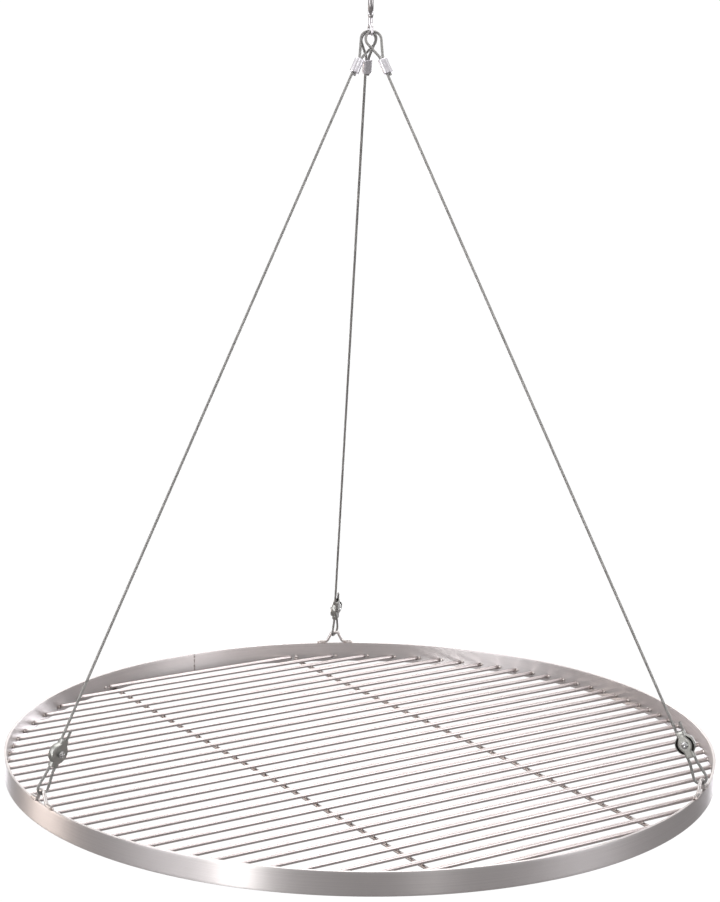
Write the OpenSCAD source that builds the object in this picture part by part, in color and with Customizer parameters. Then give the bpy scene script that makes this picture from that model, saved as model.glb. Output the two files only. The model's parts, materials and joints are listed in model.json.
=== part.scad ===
// Round hanging grill grate: a welded grid in a flat-bar hoop, carried by three wire-rope
// slings that meet on the swivel eye of a snap hook.
// +X runs along the grill rods and +Z is up. The origin is the inner crown of the hook,
// the point that the whole grate hangs from. Sizes are in millimetres.

/* [Hoop] */
// Outer diameter of the hoop
hoop_d = 800; // [560:10:960]
// Height of the hoop's flat bar
hoop_h = 25; // [24:1:40]
// Thickness of the hoop's flat bar
hoop_t = 3; // [2.5:0.5:4]
// Chamfer along the edges of the flat bar
hoop_chamfer = 0.4; // [0.2:0.1:0.8]
// Height of the hook's crown above the hoop's top edge
drop = 851; // [700:5:1030]

/* [Grid] */
// Diameter of the grill rods
rod_d = 5; // [4:0.5:6]
// Distance between neighbouring grill rods
rod_pitch = 22; // [18:1:26]
// Diameter of the two cross rods under the grid
cross_d = 4; // [3:0.5:5]
// Distance between the cross rods
cross_spacing = 264; // [160:2:320]
// How far the pair of cross rods sits off the middle
cross_shift = 7; // [0:1:15]
// Height of the cross rods above the hoop's bottom edge
cross_lift = 0.2; // [0.1:0.1:1]

/* [Bails] */
// Diameter of the bent rod of a bail
bail_d = 4; // [3:0.5:5]
// Height of the middle of a bail's top bar above the hoop
bail_h = 14; // [12:1:20]
// Slope of the legs of a bail from the hoop's edge
bail_slope = 63; // [50:1:75]
// Radius of the bends of a bail, to the middle of the rod
bail_bend = 3.5; // [3:0.5:5]
// Length of the straight part of a bail's top bar
bail_top = 4; // [3:1:8]
// Length of a bail's foot on the hoop's edge
bail_foot = 9; // [6:1:14]
// Direction of the first bail, in degrees from +X
bail_angle = 62; // [0:1:119]

/* [Slings] */
// Diameter of the wire rope
rope_d = 3; // [2.5:0.5:4]
// Radius of the crown of a top eye, to the middle of the rope
eye_r = 8.5; // [7:0.5:12]
// Lean of the sides of a top eye from its axis
eye_lean = 20; // [15:1:30]
// Radius of the bends where the ropes of a top eye part
eye_bend = 15; // [10:1:20]
// Radius of the crown of a bottom loop, to the middle of the rope
loop_r = 7; // [6.5:0.5:10]
// Lean of the sides of a bottom loop from its axis
loop_lean = 10; // [8:1:20]
// Radius of the bends where the ropes of a bottom loop part
loop_bend = 15; // [10:1:20]
// Straight stretch between the bottom loop and the clip
loop_neck = 4; // [4:1:10]
// Turn of each bottom loop about its rope, for the three slings
loop_turns = [-32, 195, 0]; // [-45:1:225]

/* [Ferrules] */
// Length of a crimped ferrule
ferrule_len = 16.5; // [12:0.5:22]
// Wall of a ferrule around its ropes
ferrule_wall = 2.2; // [1.5:0.1:3]
// Stub of rope that sticks out under the ferrule
ferrule_stub = 3; // [1:0.5:6]

/* [Clips] */
// Length of a rope clip
clip_len = 30; // [26:1:36]
// Width of a clip at its ends
clip_w = 10.6; // [9.4:0.2:10.8]
// Diameter of the round middle of a clip's body
clip_bulge = 22; // [20:0.5:25]
// Steel between a clip's screw and each of its two ropes
clip_rib = 0.5; // [0.5:0.1:1]
// Steel behind the ropes in one half of a clip
clip_skin = 2.1; // [1.8:0.1:3]
// Which way round each clip sits on its ropes, for the three slings
clip_turns = [0, 180, 0]; // [0:180:180]
// Rope end that sticks out above the clip
clip_tail = 10; // [9:1:20]
// Diameter of the clip screw
screw_d = 4; // [3.5:0.5:4]

/* [Hook] */
// Diameter of the hook's rod
hook_d = 6; // [5.5:0.5:7]
// Width of the hook's loop, middle to middle of the rod
hook_w = 22; // [20:1:30]
// Straight length of the hook's sides
hook_side = 24; // [22:1:34]
// Direction of the hook's plane, in degrees from +X
hook_angle = 57; // [0:1:180]
// Diameter of the gate
gate_d = 5; // [4.6:0.2:5.6]
// Diameter of the swivel eye's rod
swivel_rod = 2.5; // [2.2:0.1:3]
// Diameter of the swivel's stem
stem_d = 3; // [2.6:0.1:3.2]
// Direction of the swivel eye's bottom bar, in degrees from +X
bar_angle = 75; // [0:1:180]

/* [Hidden] */
$fn = 48;

// Clearances
air = 0.3;          // between bodies that move past each other
fit = 0.05;         // radial, around a shaft or a rope that slides
nip = 0.05;         // radial, where a crimp or a weld bites
touch = 0.1;        // between pieces of one body that rest on each other
blend = 0.05;       // how far a rounded joint stands proud of a bent rod

rod_r = rod_d / 2;
rope_r = rope_d / 2;
cross_r = cross_d / 2;
bail_r = bail_d / 2;
hook_r = hook_d / 2;
gate_r = gate_d / 2;
wire_r = swivel_rod / 2;
stem_r = stem_d / 2;
screw_r = screw_d / 2;

// Hoop and grid
hoop_r = hoop_d / 2;
hoop_in = hoop_r - hoop_t;
hoop_mid = hoop_r - hoop_t / 2;
hoop_top = -drop;
hoop_low = hoop_top - hoop_h;
cross_z = hoop_low + cross_lift + cross_r;
rod_z = cross_z + cross_r + rod_r + touch;
rods_each_side = floor((hoop_in - 2 * rod_d) / rod_pitch);
rod_nodes = min(18, rods_each_side + 1);
weld_in = 1;          // how far a rod's end weld sits in from the hoop's face
weld_grow = 0.3;      // how far it stands out round the rod
seam_grow = 0.5;      // how far the hoop's own weld stands proud
spot_r = 1.3;         // spot weld between a grill rod and a cross rod

// Hook, from its crown down
hook_bend = hook_w / 2;
hook_in = hook_bend - hook_r;
top_z = -hook_in;
low_z = top_z - hook_side;
hook_foot = low_z - hook_bend - hook_r;
boss_h = 2.4;
boss_tip = 2.3;
collar_top = hook_foot - boss_h - air;
collar_r = 2.5;
collar_h = 4.3;
pin_r = 1;
knuckle_r = 2.7;
knuckle_h = gate_d - 0.6;
tongue_w = 2;
tongue_r = 2.2;
pin_rise = 3.6;
pin_z = low_z + pin_rise;
spring_r = 1;
spring_wire = 0.3;
spring_h = 9;
spring_turns = 6;
spring_steps = 12;
spring_sides = 6;
rivet_r = 2.8;
rivet_h = 1.4;
rivet_taper = 0.5;
rivet_sink = 0.4;
rivet_seat = low_z - hook_in - rivet_sink;
stem_top = rivet_seat + touch + rivet_h;

// Swivel eye: three eyes lie side by side on its bottom bar
lane = rope_d + air;
bow_half = 1.5 * lane + wire_r + air;
bow_corner = 2.4;
bow_side = 3;
bow_h = bow_corner + bow_side + bow_half;
bar_z = collar_top - collar_h - wire_r - bow_h;
bar_dir = [cos(bar_angle), sin(bar_angle), 0];
seat = wire_r + rope_r + air;
lanes = [1, 0, -1];

// Bails
bail_base = hoop_top + bail_r;
bail_bar = hoop_top + bail_h;
bail_seat = bail_r + rope_r + touch;

// Clip
clip_pitch = screw_d + rope_d + 2 * clip_rib;
clip_depth = rope_r + clip_skin;
clip_gap = 0.4;
clip_wall = 1.4;
clip_air = 1.1;
clip_sink = 0.3;
plate_bulge = clip_bulge - 2 * clip_wall - 2 * clip_air;
wall_in = max(clip_w / 2 + clip_air, clip_pitch / 2 + rope_r + clip_sink);
clip_end = 4;
shoulder_in = 0.6;
shoulder_angle = 27;
screw_hole = screw_r + 0.2;
screw_head_r = screw_d;
screw_head_h = 2.6;
screw_taper = 0.6;
screw_socket = 1.4;
socket_r = 1.5;
nut_across = 1.75 * screw_d;
nut_h = 3.2;
screw_end = 1;

STEEL = [0.62, 0.6, 0.59];
BRIGHT = [0.78, 0.78, 0.79];
ROPE = [0.42, 0.41, 0.4];
ZINC = [0.5, 0.5, 0.48];
WELD = [0.52, 0.46, 0.4];

// Vectors
function unit(v) = v / norm(v);
function square_to(v, d) = unit(v - (v * d) * d);
function radial(i) = let (a = bail_angle + 120 * (i - 1)) [cos(a), sin(a), 0];
function tangent(i) = cross([0, 0, 1], radial(i));

// Ends of a sling's axis: the crown of its top eye and the crown of its bottom loop
function bail_mid(i) = hoop_mid * radial(i) + [0, 0, bail_bar];
function bar_mid(i) = [0, 0, bar_z] + lanes[i - 1] * lane * bar_dir;
function pull(i) = unit(bail_mid(i) - bar_mid(i));
function crown(i) = bar_mid(i) - seat * square_to(pull(i), bar_dir);
function loop_crown(i) = bail_mid(i) + bail_seat * square_to(pull(i), tangent(i));
function aim(i) = unit(crown(i) - loop_crown(i));
function eye_side(i) = cross(square_to(bar_dir, aim(i)), aim(i));
function loop_out(i) = square_to(radial(i), aim(i));
function loop_side(i) = let (a = loop_turns[i - 1])
    cos(a) * loop_out(i) + sin(a) * cross(aim(i), loop_out(i));
// The straight rope lies on one side of both axes
strand = rope_r + touch / 2;
function rope_top(i) = crown(i) - strand * eye_side(i);
function rope_low(i) = loop_crown(i) - clip_pitch / 2 * loop_side(i);
function up(i) = unit(rope_top(i) - rope_low(i));
function rope_run(i) = norm(rope_top(i) - rope_low(i));
function top_x(i) = square_to(eye_side(i), up(i));
function low_x(i) = square_to(loop_side(i), up(i));

// Length of a teardrop eye from its neck to the middle of its crown
function eye_straight(half, r, lean, bend) = (r * cos(lean) - half - bend * (1 - cos(lean))) / sin(lean);
function eye_centre(half, r, lean, bend) =
    bend * sin(lean) + eye_straight(half, r, lean, bend) * cos(lean) + r * sin(lean);
eye_len = eye_centre(strand, eye_r, eye_lean, eye_bend) + eye_r;
loop_len = loop_neck + eye_centre(clip_pitch / 2, loop_r, loop_lean, loop_bend) + loop_r;

// Puts a child's X and Z along two unit vectors that are square to each other
module placed(origin, x, z) {
    y = cross(z, x);
    multmatrix([[x[0], y[0], z[0], origin[0]],
                [x[1], y[1], z[1], origin[1]],
                [x[2], y[2], z[2], origin[2]],
                [0, 0, 0, 1]]) children();
}

module in_top_frame(i) placed(rope_top(i), top_x(i), up(i)) children();
module in_low_frame(i) placed(rope_low(i), low_x(i), up(i)) children();
module in_clip(i) in_low_frame(i)
    translate([clip_pitch / 2, 0, loop_len + clip_len / 2]) rotate([0, 0, clip_turns[i - 1]]) children();
module in_hook() rotate([0, 0, hook_angle]) children();

// A bent round rod in the XZ plane, about the origin, from one angle through another
module bend(r, rod, from, through)
    rotate([90, 0, 0]) rotate([0, 0, from]) rotate_extrude(angle = through)
        translate([r, 0]) circle(rod);

// A rounded joint that binds two pieces of bent rod
module knot(rod) sphere(r = rod + blend);

// A teardrop of rope that opens upwards from two ropes at x = -half and x = half
module teardrop(half, r, lean, turn) {
    straight = eye_straight(half, r, lean, turn);
    for (side = [0, 1]) mirror([side, 0, 0]) {
        translate([half, 0, 0]) knot(rope_r);
        translate([half + turn, 0, 0]) bend(turn, rope_r, 180 - lean, lean);
        translate([half + turn * (1 - cos(lean)), 0, turn * sin(lean)]) rotate([0, lean, 0]) {
            knot(rope_r);
            cylinder(r = rope_r, h = straight);
            translate([0, 0, straight]) knot(rope_r);
        }
    }
    translate([0, 0, eye_centre(half, r, lean, turn)]) bend(r, rope_r, -lean, 180 + 2 * lean);
}

// ---- hook and swivel ----

module hook_body() color(STEEL) in_hook() difference() {
    union() {
        translate([0, 0, top_z]) bend(hook_bend, hook_r, 0, 180);
        translate([-hook_bend, 0, low_z]) cylinder(r = hook_r, h = hook_side);
        translate([0, 0, low_z]) bend(hook_bend, hook_r, 180, 180);
        translate([0, 0, hook_foot - boss_h]) cylinder(r1 = boss_tip, r2 = hook_r, h = boss_h);
        translate([0, 0, hook_foot]) cylinder(r = hook_r, h = hook_r);
        gate_tongue();
    }
    translate([0, 0, hook_foot - boss_h - 1]) cylinder(r = stem_r + fit, h = hook_d + boss_h + 2);
    translate([0, 0, rivet_seat]) cylinder(r = rivet_r + air, h = hook_r);
    gate_pin_hole(fit);
}

// The flat ear that the gate turns on
module gate_tongue() {
    translate([hook_bend, 0, pin_z]) rotate([90, 0, 0])
        cylinder(r = tongue_r, h = tongue_w, center = true);
    translate([hook_bend - tongue_r, -tongue_w / 2, low_z - 1])
        cube([2 * tongue_r, tongue_w, pin_z - low_z + 1]);
}

module gate_pin_hole(grow)
    translate([hook_bend, 0, pin_z]) rotate([90, 0, 0])
        cylinder(r = pin_r + grow, h = 3 * gate_d, center = true);

module gate() color(BRIGHT) in_hook() difference() {
    union() {
        translate([hook_bend, 0, pin_z]) cylinder(r = gate_r, h = top_z - air - pin_z);
        translate([hook_bend, 0, pin_z]) rotate([90, 0, 0])
            cylinder(r = knuckle_r, h = knuckle_h, center = true);
    }
    translate([hook_bend - gate_d, -tongue_w / 2 - air, pin_z - gate_d])
        cube([2 * gate_d, tongue_w + 2 * air, gate_d + tongue_r + air]);
    gate_pin_hole(0);
    translate([hook_bend, 0, pin_z]) cylinder(r = spring_r + spring_wire + touch, h = tongue_r + spring_h);
}

module gate_pin() color(ZINC) in_hook()
    translate([hook_bend, 0, pin_z]) rotate([90, 0, 0])
        cylinder(r = pin_r, h = knuckle_h + touch, center = true);

// A helical spring in the gate's drilled core, swept as one closed tube
module gate_spring() color(ZINC) in_hook() {
    rings = spring_turns * spring_steps;
    rise = (spring_h - 2 * spring_wire - 2 * touch) / rings;
    slope = atan2(rise * spring_steps, 2 * PI * spring_r);
    ring = [for (k = [0 : rings]) for (s = [0 : spring_sides - 1])
        let (a = 360 * k / spring_steps, b = 360 * s / spring_sides,
             out = [cos(a), sin(a), 0], over = [sin(a) * sin(slope), -cos(a) * sin(slope), cos(slope)])
        spring_r * out + [0, 0, k * rise] + spring_wire * (cos(b) * out + sin(b) * over)];
    sides = [for (k = [0 : rings - 1]) for (s = [0 : spring_sides - 1])
        let (n = (s + 1) % spring_sides, low = k * spring_sides, high = low + spring_sides)
        [low + s, high + s, high + n, low + n]];
    ends = [[for (s = [0 : spring_sides - 1]) s],
            [for (s = [spring_sides - 1 : -1 : 0]) rings * spring_sides + s]];
    translate([hook_bend, 0, pin_z + tongue_r + air + spring_wire]) polyhedron(ring, concat(sides, ends));
}

module swivel_eye() color(BRIGHT) translate([0, 0, bar_z]) rotate([0, 0, bar_angle]) {
    flat = bow_half - bow_corner;
    translate([-flat, 0, 0]) rotate([0, 90, 0]) cylinder(r = wire_r, h = 2 * flat);
    for (side = [0, 1]) mirror([side, 0, 0]) {
        translate([flat, 0, bow_corner]) bend(bow_corner, wire_r, 270, 90);
        translate([bow_half, 0, bow_corner]) cylinder(r = wire_r, h = bow_side);
    }
    translate([0, 0, bow_corner + bow_side]) bend(bow_half, wire_r, 0, 180);
    translate([0, 0, bow_h]) cylinder(r = collar_r, h = wire_r + collar_h);
    translate([0, 0, bow_h]) cylinder(r = stem_r, h = stem_top - bar_z - bow_h);
}

module swivel_rivet() color(BRIGHT) translate([0, 0, rivet_seat + touch]) difference() {
    cylinder(r1 = rivet_r, r2 = rivet_r - rivet_taper, h = rivet_h);
    translate([0, 0, -1]) cylinder(r = stem_r - nip, h = rivet_h + 2);
}

// ---- hoop and grid ----

module hoop() color(STEEL) {
    c = hoop_chamfer;
    translate([0, 0, hoop_low]) rotate_extrude($fn = 180) polygon([
        [hoop_in + c, 0], [hoop_r - c, 0], [hoop_r, c], [hoop_r, hoop_h - c],
        [hoop_r - c, hoop_h], [hoop_in + c, hoop_h], [hoop_in, hoop_h - c], [hoop_in, c]]);
}

// The butt weld that closes the hoop, proud of both faces
module hoop_seam_weld() color(WELD)
    translate([0, hoop_mid, hoop_low + hoop_chamfer])
        cylinder(r = hoop_t / 2 + seam_grow, h = hoop_h - 2 * hoop_chamfer);

// A straight rod across the hoop at one offset, its ends cut to the hoop's inner face
module chord_rod(r, offset, z) {
    half = sqrt(pow(hoop_in, 2) - pow(max(0, abs(offset) - r), 2));
    intersection() {
        translate([-half, offset, z]) rotate([0, 90, 0]) cylinder(r = r, h = 2 * half);
        translate([0, 0, z - 2 * r]) cylinder(r = hoop_in - touch, h = 4 * r, $fn = 180);
    }
}

// The rods at one distance from the middle, and at every further one past the last node
module grill_rods(k) color(STEEL)
    for (place = [k : rod_nodes : rods_each_side], side = (place == 0) ? [1] : [-1, 1])
        chord_rod(rod_r, side * place * rod_pitch, rod_z);

function cross_x(n) = cross_shift + (n == 1 ? -1 : 1) * cross_spacing / 2;

module cross_rod(n) color(STEEL)
    rotate([0, 0, 90]) chord_rod(cross_r, -cross_x(n), cross_z);

// Small beads where the rods meet the hoop's inner face
module rod_end_welds() color(WELD) {
    for (k = [-rods_each_side : rods_each_side]) {
        y = k * rod_pitch;
        for (side = [-1, 1])
            translate([side * (sqrt(pow(hoop_in, 2) - pow(y, 2)) - weld_in), y, rod_z])
                sphere(r = rod_r + weld_grow);
    }
    for (n = [1, 2]) for (side = [-1, 1])
        translate([cross_x(n), side * (sqrt(pow(hoop_in, 2) - pow(cross_x(n), 2)) - weld_in), cross_z])
            sphere(r = cross_r + cross_lift / 2);
}

// Spot welds where a grill rod lies on a cross rod
module cross_rod_welds() color(WELD)
    for (n = [1, 2]) for (k = [-rods_each_side : rods_each_side])
        if (pow(k * rod_pitch, 2) + pow(cross_x(n), 2) < pow(hoop_in - rod_d, 2))
            translate([cross_x(n), k * rod_pitch, cross_z + cross_r + touch / 2]) sphere(r = spot_r);

// ---- bails ----

function bail_leg() = (bail_bar - bail_base - 2 * bail_bend * (1 - cos(bail_slope))) / sin(bail_slope);
function bail_reach() = bail_top / 2 + 2 * bail_bend * sin(bail_slope) + bail_leg() * cos(bail_slope);

module in_bail(i) placed(hoop_mid * radial(i) + [0, 0, bail_base + touch], tangent(i), [0, 0, 1]) children();

module bail(i) color(STEEL) in_bail(i) {
    rise = bail_bar - bail_base - touch;
    leg = bail_leg() - touch / sin(bail_slope);
    translate([-bail_top / 2, 0, rise]) rotate([0, 90, 0]) cylinder(r = bail_r, h = bail_top);
    heel = bail_top / 2 + 2 * bail_bend * sin(bail_slope) + leg * cos(bail_slope);
    for (side = [0, 1]) mirror([side, 0, 0]) {
        translate([bail_top / 2, 0, rise]) knot(bail_r);
        translate([bail_top / 2, 0, rise - bail_bend]) bend(bail_bend, bail_r, 90 - bail_slope, bail_slope);
        translate([bail_top / 2 + bail_bend * sin(bail_slope), 0, rise - bail_bend * (1 - cos(bail_slope))])
            rotate([0, 90 + bail_slope, 0]) {
                knot(bail_r);
                cylinder(r = bail_r, h = leg);
                translate([0, 0, leg]) knot(bail_r);
            }
        translate([heel, 0, bail_bend]) bend(bail_bend, bail_r, 270 - bail_slope, bail_slope);
        translate([heel, 0, 0]) knot(bail_r);
        translate([heel, 0, 0]) rotate([0, 90, 0]) cylinder(r = bail_r, h = bail_foot);
    }
}

module bail_welds() color(WELD)
    for (i = [1 : 3]) in_bail(i) for (side = [-1, 1]) for (step = [0.35, 0.85])
        translate([side * (bail_reach() + step * bail_foot), 0, -bail_r / 2]) sphere(r = bail_r);

// ---- slings ----

// The eye round the swivel, down to the middle of the ferrule, with the rope's end
module rope_eye(i) color(ROPE) in_top_frame(i) translate([0, 0, -eye_len]) {
    translate([strand, 0, 0]) teardrop(strand, eye_r, eye_lean, eye_bend);
    translate([0, 0, -ferrule_len / 2]) cylinder(r = rope_r, h = ferrule_len / 2);
    translate([2 * strand, 0, -ferrule_len - ferrule_stub])
        cylinder(r = rope_r, h = ferrule_len + ferrule_stub);
}

// The straight rope, from the middle of the clip to the middle of the ferrule
module rope(i) color(ROPE) in_low_frame(i) {
    foot = loop_len + clip_len / 2 + touch;
    head = rope_run(i) - eye_len - ferrule_len / 2 - touch;
    translate([0, 0, foot]) cylinder(r = rope_r, h = head - foot);
}

// The loop round the bail, up to the middle of the clip, with the rope's other end
module rope_loop(i) color(ROPE) in_low_frame(i) translate([0, 0, loop_len - loop_neck]) {
    translate([clip_pitch / 2, 0, 0]) rotate([180, 0, 0])
        teardrop(clip_pitch / 2, loop_r, loop_lean, loop_bend);
    cylinder(r = rope_r, h = loop_neck + clip_len / 2);
    translate([clip_pitch, 0, 0]) cylinder(r = rope_r, h = loop_neck + clip_len + clip_tail);
}

module ferrule(i) color(BRIGHT) in_top_frame(i)
    translate([strand, 0, -eye_len - ferrule_len]) difference() {
        union() {
            for (side = [-1, 1]) translate([side * strand, 0, 0])
                cylinder(r = rope_r + ferrule_wall, h = ferrule_len);
            translate([-strand, -rope_r - ferrule_wall, 0])
                cube([2 * strand, rope_d + 2 * ferrule_wall, ferrule_len]);
        }
        for (side = [-1, 1]) translate([side * strand, 0, -1])
            cylinder(r = rope_r - nip, h = ferrule_len + 2);
    }

// ---- rope clips ----

// The corners of a quarter of a clip's outline, whose middle is round
function clip_corner(bulge) = let (r = bulge / 2 - shoulder_in)
    [[clip_w / 2, clip_len / 2], [clip_w / 2, clip_len / 2 - clip_end],
     [r * cos(shoulder_angle), r * sin(shoulder_angle)]];

// A clip's outline to one thickness: narrow ends that spread into a round middle
module clip_plate(bulge, h) {
    corner = clip_corner(bulge);
    cylinder(d = bulge, h = h);
    linear_extrude(height = h) polygon([for (side = [[1, 1], [1, -1], [-1, -1], [-1, 1]])
        for (n = side[0] == side[1] ? [0 : 2] : [2 : -1 : 0])
            [side[0] * corner[n][0], side[1] * corner[n][1]]]);
}

// One pressed half, its open side towards the ropes at y = 0
module clip_half(bulge) difference() {
    translate([0, -clip_gap, 0]) rotate([90, 0, 0]) clip_plate(bulge, clip_depth - clip_gap);
    for (side = [-1, 1]) translate([side * clip_pitch / 2, 0, 0])
        cylinder(r = rope_r + fit, h = clip_len + 2, center = true);
    translate([0, clip_gap, 0]) rotate([90, 0, 0])
        cylinder(d = bulge - 2 * clip_wall, h = clip_gap + clip_depth - clip_wall);
    rotate([90, 0, 0]) cylinder(r = screw_hole, h = 3 * clip_depth, center = true);
}

// The walls that rise from the body's round middle, outside the ropes and round the plate
module clip_walls() difference() {
    translate([0, clip_depth - clip_sink, 0]) rotate([90, 0, 0])
        cylinder(d = clip_bulge - 2 * touch, h = 2 * (clip_depth - clip_sink));
    rotate([90, 0, 0]) cylinder(d = clip_bulge - 2 * clip_wall, h = 3 * clip_depth, center = true);
    cube([2 * wall_in, 3 * clip_depth, clip_bulge + 2], center = true);
}

module clip_front(i) color(ZINC) in_clip(i) clip_half(plate_bulge);

module clip_back(i) color(ZINC) in_clip(i) {
    rotate([0, 0, 180]) clip_half(clip_bulge);
    clip_walls();
}

module clip_nut(i) color(ZINC) in_clip(i) translate([0, clip_depth + touch, 0]) rotate([-90, 0, 0])
    difference() {
        cylinder(r = nut_across / sqrt(3), h = nut_h, $fn = 6);
        translate([0, 0, -1]) cylinder(r = screw_r + fit, h = nut_h + 2);
    }

module clip_screw(i) color(BRIGHT) in_clip(i) translate([0, -clip_depth - touch, 0]) difference() {
    union() {
        rotate([90, 0, 0]) cylinder(r1 = screw_head_r, r2 = screw_head_r - screw_taper, h = screw_head_h);
        rotate([-90, 0, 0]) cylinder(r = screw_r, h = 2 * clip_depth + 2 * touch + nut_h + screw_end);
    }
    translate([0, screw_socket - screw_head_h, 0]) rotate([90, 0, 0])
        cylinder(r = socket_r, h = screw_head_h, $fn = 6);
}

hook_body();
gate();
gate_pin();
gate_spring();
swivel_eye();
swivel_rivet();
hoop();
hoop_seam_weld();
rod_end_welds();
cross_rod_welds();
bail_welds();
for (n = [1, 2]) cross_rod(n);
for (k = [0 : rod_nodes - 1]) grill_rods(k);
for (i = [1 : 3]) {
    bail(i);
    rope(i);
    rope_eye(i);
    rope_loop(i);
    ferrule(i);
    clip_front(i);
    clip_back(i);
    clip_screw(i);
    clip_nut(i);
}
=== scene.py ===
"""The looks of a hanging grill grate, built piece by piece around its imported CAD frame.

Lengths are in metres in the frame of the part: +X along the grill rods, +Z up, and the
origin at the inner crown of the hook that the grate hangs from.
"""
import sys
import json
import logging
import math
from collections.abc import Iterable, Sequence
from dataclasses import dataclass
from enum import Enum

import bmesh
import bpy
import numpy as np
from mathutils import Matrix, Vector


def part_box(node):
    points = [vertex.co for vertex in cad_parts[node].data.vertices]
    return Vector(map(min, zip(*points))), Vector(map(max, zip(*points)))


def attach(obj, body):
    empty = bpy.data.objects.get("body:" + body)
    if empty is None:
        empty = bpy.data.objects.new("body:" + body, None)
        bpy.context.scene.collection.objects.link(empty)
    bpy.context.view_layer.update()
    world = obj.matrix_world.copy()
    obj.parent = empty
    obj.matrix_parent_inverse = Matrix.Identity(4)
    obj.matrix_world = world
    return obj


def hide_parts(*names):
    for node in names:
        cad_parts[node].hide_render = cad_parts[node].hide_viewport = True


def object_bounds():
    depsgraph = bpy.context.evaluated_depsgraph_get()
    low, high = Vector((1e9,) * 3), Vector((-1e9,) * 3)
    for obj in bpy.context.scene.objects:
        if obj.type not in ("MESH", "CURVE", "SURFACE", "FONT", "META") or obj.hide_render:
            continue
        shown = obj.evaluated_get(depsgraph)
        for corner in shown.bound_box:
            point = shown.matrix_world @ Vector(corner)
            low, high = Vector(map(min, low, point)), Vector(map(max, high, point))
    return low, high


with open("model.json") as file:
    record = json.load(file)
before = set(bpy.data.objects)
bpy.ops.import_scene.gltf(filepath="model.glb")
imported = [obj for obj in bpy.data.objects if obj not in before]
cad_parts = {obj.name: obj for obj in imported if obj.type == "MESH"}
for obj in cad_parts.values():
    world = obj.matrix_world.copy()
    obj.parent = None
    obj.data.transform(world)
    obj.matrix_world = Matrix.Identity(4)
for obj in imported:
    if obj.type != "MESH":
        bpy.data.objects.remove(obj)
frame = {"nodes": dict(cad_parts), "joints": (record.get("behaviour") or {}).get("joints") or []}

LOG = logging.getLogger("grate")
CAD_BOX = [list(corner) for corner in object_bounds()]
MM = 0.001
SLINGS = (1, 2, 3)

Colour = tuple[float, float, float]
Socket = bpy.types.NodeSocket
Value = float | int | bool | Sequence[float] | Socket | bpy.types.ID | None


# ---- node trees ----


class TreeBuilder:
    """A node tree under construction, for a material or for geometry."""

    def __init__(self, tree: bpy.types.NodeTree) -> None:
        """Starts on an empty tree.

        Args:
            tree: The tree that the nodes go into.
        """
        self.tree = tree

    def node(self, kind: str, inputs: dict[str | int, Value] | None = None,
             **settings: object) -> bpy.types.Node:
        """Adds a node, and links or sets its inputs.

        Args:
            kind: The node's type.
            inputs: A socket, which is linked, or a value, for inputs by name or by place.
            settings: The node's own properties.

        Returns:
            The node.
        """
        made = self.tree.nodes.new(kind)
        for key, value in settings.items():
            setattr(made, key, value)
        for key, value in (inputs or {}).items():
            target = made.inputs[key]
            if isinstance(value, bpy.types.NodeSocket):
                self.tree.links.new(value, target)
            else:
                target.default_value = value
        return made

    def math(self, operation: str, first: Value, second: Value = 0.0, third: Value = 0.0) -> Socket:
        """Adds a Math node.

        Args:
            operation: What it works out.
            first: Its first number.
            second: Its second number.
            third: Its third number, which only some operations use.

        Returns:
            The result's socket.
        """
        inputs = {0: first, 1: second, 2: third}
        return self.node("ShaderNodeMath", inputs, operation=operation).outputs[0]

    def combine(self, x: Value, y: Value, z: Value) -> Socket:
        """Adds a Combine XYZ node and returns its vector."""
        return self.node("ShaderNodeCombineXYZ", {"X": x, "Y": y, "Z": z}).outputs[0]

    def ramp(self, factor: Socket, stops: Sequence[tuple[float, Colour]]) -> Socket:
        """Adds a Color Ramp.

        Args:
            factor: What runs along it.
            stops: Its places and colours.

        Returns:
            The colour.
        """
        made = self.node("ShaderNodeValToRGB", {0: factor})
        elements = made.color_ramp.elements
        for at, colour in stops[1:-1]:
            elements.new(at).color = (*colour, 1.0)
        for element, (at, colour) in zip((elements[0], elements[-1]), (stops[0], stops[-1])):
            element.position = at
            element.color = (*colour, 1.0)
        return made.outputs[0]


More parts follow.
